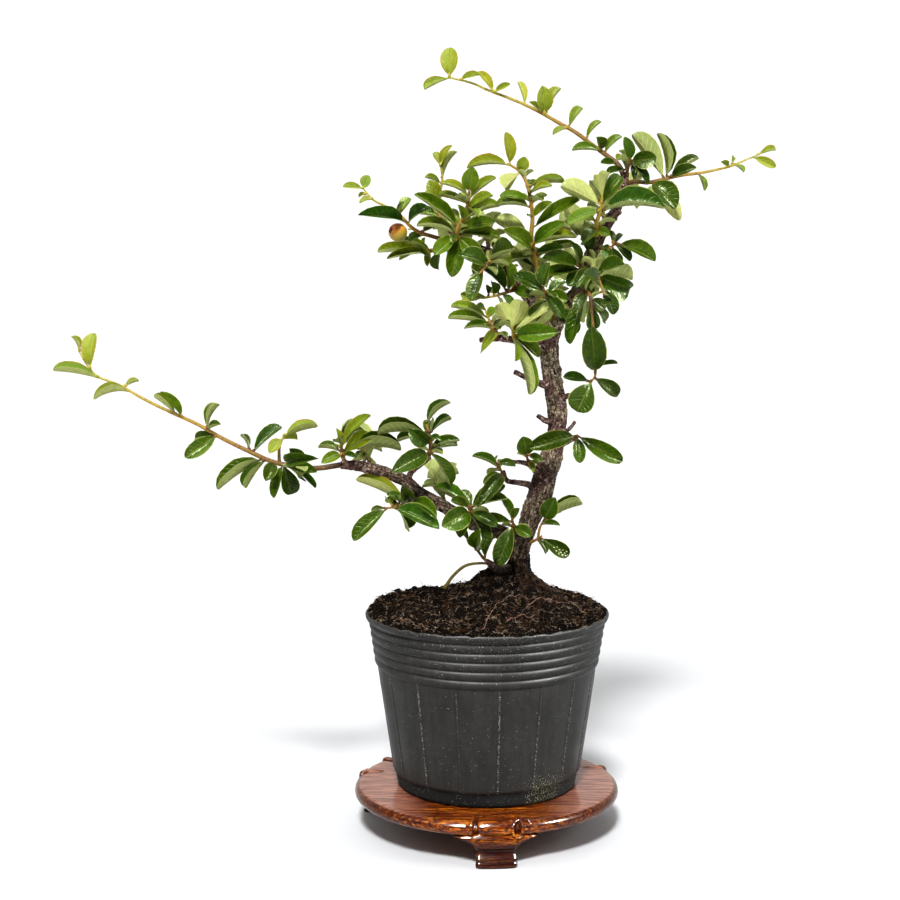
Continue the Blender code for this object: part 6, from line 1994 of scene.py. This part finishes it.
def bead_profile():
    """Down from the middle of the top, round the bead and back under the board."""
    top_radii = (4.0, 16.0, 30.0, 42.0, 50.0, 54.0)
    profile = [(radius, STAND_TOP - 0.2 * (radius / 52.0) ** 4) for radius in top_radii]
    profile += [(57.0, STAND_TOP - 0.3)]
    for step in range(BEAD_STEPS + 1):
        swing = math.radians(-8 + 196 * step / BEAD_STEPS)
        radius = BEAD_RADIUS + 4.6 * math.sin(swing) ** 0.85 if 0 < step < BEAD_STEPS else 60.0
        profile.append((radius, BEAD_LEVEL + 3.6 * math.cos(swing)))
    profile += [(56.0, STAND_UNDERSIDE), (30.0, STAND_UNDERSIDE), (4.0, STAND_UNDERSIDE)]
    return profile


print("the bead has", BEAD_STEPS, "steps")

# %% Grooves of the board
def from_leg(degrees):
    """The leg that an angle is nearest to, as the angle from it."""
    return min(((degrees - leg + 180.0) % 360.0 - 180.0 for leg in leg_angles), key=abs)


def board_place(radius, z, angle):
    """A point of the board, pushed in at the grooves beside each leg's block."""
    off = from_leg(math.degrees(angle))
    reach = clamped((radius - 54.0) / 5.0)
    past = abs(off) - groove_angle
    groove = math.exp(-((past / 1.15) ** 4))
    pillow = (off / groove_angle) ** 2 if past < 0 else 0.0
    lip = math.exp(-(((past - 1.8) / 0.5) ** 2))
    change = reach * (1.1 * lip - max(2.4 * groove, 1.2 * pillow))
    lower = reach * (1.2 * groove - 0.9 * lip) * (1.0 if z > 19.0 else 0.0)
    return Vector(((radius + change) * math.sin(angle), -(radius + change) * math.cos(angle), z - lower))


print("a groove is cut at", round(groove_angle, 1), "degrees from a leg's middle")

# %% The board's skin
groove_marks = [(leg + side * groove_angle) % 360.0 for leg in leg_angles for side in (-1, 1)]
near_groove = (-1.8, -1.4, -1.2, -1.0, -0.7, 0.7, 1.0, 1.2, 1.4, 1.6, 1.8, 2.0, 2.2, 2.5)
board_angles = columns(groove_marks, 180, near_groove)
board = revolved("stand_board", bead_profile(), board_angles, board_place)
# Painted shade in the grooves beside each leg's block, kept as a point attribute.
groove_shade = board.data.attributes.new("groove_shade", "FLOAT", "POINT")
for vertex in board.data.vertices:
    place = Vector(vertex.co) / MM - POT_AXIS
    past = abs(from_leg(math.degrees(math.atan2(place.x, -place.y)))) - groove_angle
    outer = clamped((math.hypot(place.x, place.y) - 55.0) / 4.0)
    groove_shade.data[vertex.index].value = outer * math.exp(-((past / 1.1) ** 4))
print("the board's skin has", len(board_angles), "columns")

# %% [markdown]
# ## Feet of the stand
# Each foot is an apron that sweeps out under the board and runs down into a narrow foot with rounded edges.
# Its outline from the front is a table of half widths by height, and its section is a table of outer and
# inner radii. The skin lofts one ring of points for each height, and the radii make two scroll ridges across
# its face.

# %% Form of a foot
# (height, half width, outer radius, inner radius)
FOOT_FORM = (
    (0.0, 9.4, 65.3, 55.5), (0.5, 9.9, 65.9, 55.4), (2.2, 10.1, 65.7, 55.1), (3.0, 10.0, 65.2, 54.9),
    (3.6, 10.0, 65.5, 54.8), (4.6, 10.1, 65.2, 54.5), (6.2, 10.0, 64.2, 54.0), (7.8, 9.9, 63.5, 53.2),
    (8.6, 10.0, 63.5, 52.6), (9.3, 10.3, 64.2, 52.2), (10.6, 10.8, 64.8, 51.4), (11.8, 11.8, 65.1, 50.9),
    (12.8, 13.6, 65.2, 50.4), (13.6, 15.8, 65.1, 50.2), (14.4, 18.6, 64.9, 50.0), (15.1, 21.6, 64.6, 50.0),
    (15.5, 19.0, 64.2, 50.0), (15.8, 11.4, 63.9, 50.2), (16.6, 9.7, 63.6, 51.0), (18.0, 9.6, 63.4, 52.0),
    (19.4, 9.5, 63.0, 53.0), (19.9, 9.2, 62.5, 54.0),
)
FOOT_TOP = 19.9
FOOT_ROWS = 46
FACE_POINTS = 20
print("a foot is", FOOT_TOP, "mm high")

# %% Skins of the feet
def foot_row(z):
    """The half width and the two radii at a height, by a smooth curve through the table."""
    heights = [row[0] for row in FOOT_FORM]
    for i in range(len(heights) - 1):
        if z <= heights[i + 1]:
            break
    rows = (FOOT_FORM[max(i - 1, 0)], FOOT_FORM[i], FOOT_FORM[i + 1], FOOT_FORM[min(i + 2, len(heights) - 1)])
    t = (z - heights[i]) / (heights[i + 1] - heights[i])
    return [curve_value(*sizes, t) for sizes in list(zip(*rows))[1:]]


def foot_ring(z, leg_angle):
    half, outer, inner = foot_row(z)
    ring = []
    for i in range(FACE_POINTS):
        across = -1.0 + 2.0 * i / (FACE_POINTS - 1)
        rounded = 0.7 * abs(across) ** 14
        ring.append((half * (across - 0.02 * across * abs(across) ** 14), outer - rounded))
    for i in range(FACE_POINTS):
        across = 1.0 - 2.0 * i / (FACE_POINTS - 1)
        ring.append((half * across * 0.97, inner))
    placed = []
    for across, radius in ring:
        angle = math.radians(leg_angle) + across / 64.0
        placed.append(Vector((radius * math.sin(angle), -radius * math.cos(angle), z)))
    return placed


for leg_angle, side in zip(leg_angles, ("front", "right", "left")):
    heights = [FOOT_TOP * i / FOOT_ROWS for i in range(FOOT_ROWS + 1)]
    foot = mesh_piece("stand_foot_" + side, *skin([foot_ring(z, leg_angle) for z in heights]))
    foot.data.set_sharp_from_angle(angle=math.radians(50))
    print(foot.name, "stands at", round(leg_angle), "degrees")

# %% Carved scrolls
# Degrees from the leg's middle and height, from the curl's inner end round an oval
SCROLL_LINE = (
    (12.3, 21.7), (13.6, 21.0), (14.7, 21.8), (13.9, 22.8), (10.9, 23.1), (8.3, 22.8), (6.9, 21.2),
    (6.7, 19.0), (7.4, 16.6), (9.1, 14.9), (10.5, 15.6), (11.3, 17.8), (11.2, 20.4), (10.5, 22.4),
)


def scroll(leg_angle):
    """A rounded strip over the right groove: an oval with a small curl at its upper end."""
    points = []
    for off, up in SCROLL_LINE:
        over = (up - BEAD_LEVEL) / 3.9
        reach = 65.5 if over < 0 else BEAD_RADIUS + 4.5 * max(0.0, 1.0 - over**2) ** 0.45
        angle = math.radians(leg_angle + off)
        points.append(Vector((reach * math.sin(angle), -reach * math.cos(angle), up)))
    return (("scroll", points, 0.7, 0.8, []), [], random.Random(1))


print("a scroll of", len(SCROLL_LINE), "points")

# %% [markdown]
# ## Lacquered wood
# The wood is red-brown with a strong grain: dark pores and streaks run the same way through the whole board,
# from left to right. Stretched noise makes the streaks, a second one the pores. Painted shade darkens the low
# parts, the neck of each foot, the grooves and the board's left and right sides, a painted reflection
# lightens the top towards its sides, and a clear coat gives the deep shine.

# %% Stand finish
lacquer, tree, shader, coordinates = new_finish("lacquered rosewood")
wander = cloud(stretched(coordinates, 14.0, 30.0, 30.0), 1.0, 2.0)
drift = add(tree, "ShaderNodeCombineXYZ", {"Y": times(wander, 0.012), "Z": times(wander, 0.006)})
warped = vector_calc("ADD", coordinates, drift.outputs[0])[0]
streaks = cloud(stretched(warped, 50.0, 680.0, 680.0), 1.0, 4.0, 0.62)
pores = cloud(stretched(warped, 330.0, 1700.0, 1700.0), 1.0, 3.0, 0.55)
bands = cloud(stretched(warped, 10.0, 110.0, 110.0), 1.0, 2.0)
tone = shades(streaks, (0.32, 40, 12, 4), (0.43, 104, 42, 8), (0.54, 172, 88, 16), (0.66, 238, 150, 42))
tone = stain(tone, spread(bands, 0.42, 0.62, 0.0, 0.5), (84, 34, 15))
tone = stain(tone, spread(pores, 0.50, 0.57, 0.0, 0.85), (26, 9, 5))
level = xyz(coordinates)["Z"]
# Painted shade: the board's underside and the feet are darker, as in the board's shadow.
low_shade = spread(level, 0.018, 0.0095, 0.0, 0.85)
tone = stain(tone, low_shade, (44, 11, 7))
# Painted shade under the apron's overhang, at the neck of each foot.
step_shade = spread(calc("ABSOLUTE", minus(level, 0.0085)), 0.0016, 0.0005)
tone = stain(tone, step_shade, (12, 5, 4), 0.5)
side_away = calc("ABSOLUTE", xyz(vector_calc("SUBTRACT", coordinates, POT_AXIS * MM)[0])["X"])
# Painted shade: the board darkens towards its left and right sides, which turn away from the front light.
tone = stain(tone, spread(side_away, 0.014, 0.05, 0.0, 0.66), (54, 17, 9))
board_top = spread(level, 0.0221, 0.0227)
# Painted reflection: a pale sheen on the top towards its left and right, where the lacquer mirrors the pale
# surround.
painted_sheen = times(spread(side_away, 0.024, 0.046, 0.0, 0.8), board_top)
painted_sheen_tone = blend(spread(streaks, 0.4, 0.6), paint(128, 80, 66), paint(180, 130, 112))
tone = blend(painted_sheen, tone, painted_sheen_tone)
# Painted shade in the grooves.
tone = stain(tone, named(tree, "groove_shade"), (52, 11, 9), 0.75)
pore_dents = relief(spread(pores, 0.5, 0.66, 1.0, 0.0), 0.00012, 0.4)
surface(shader, tone, pore_dents, spread(streaks, 0.3, 0.7, 0.3, 0.42), 0.04)
shader.inputs["Coat Weight"].default_value = 0.65
shader.inputs["Coat Roughness"].default_value = 0.15
print("lacquer:", len(tree.nodes), "nodes")

# %% Lacquer on every part of the stand
board.data.materials.append(lacquer)
finished(board, "stand wood", "stand_top")
for side in ("front", "right", "left"):
    foot = bpy.data.objects["stand_foot_" + side]
    foot.data.materials.append(lacquer)
    finished(foot, "stand wood", "stand_leg_" + side)
scroll_stems = [scroll(angle) for angle in leg_angles]
finished(stem_piece("stand_scrolls", scroll_stems, 10, lacquer), "stand wood")

# %% [markdown]
# ## Size
# The scene keeps the object's size.

# %% Size
import json
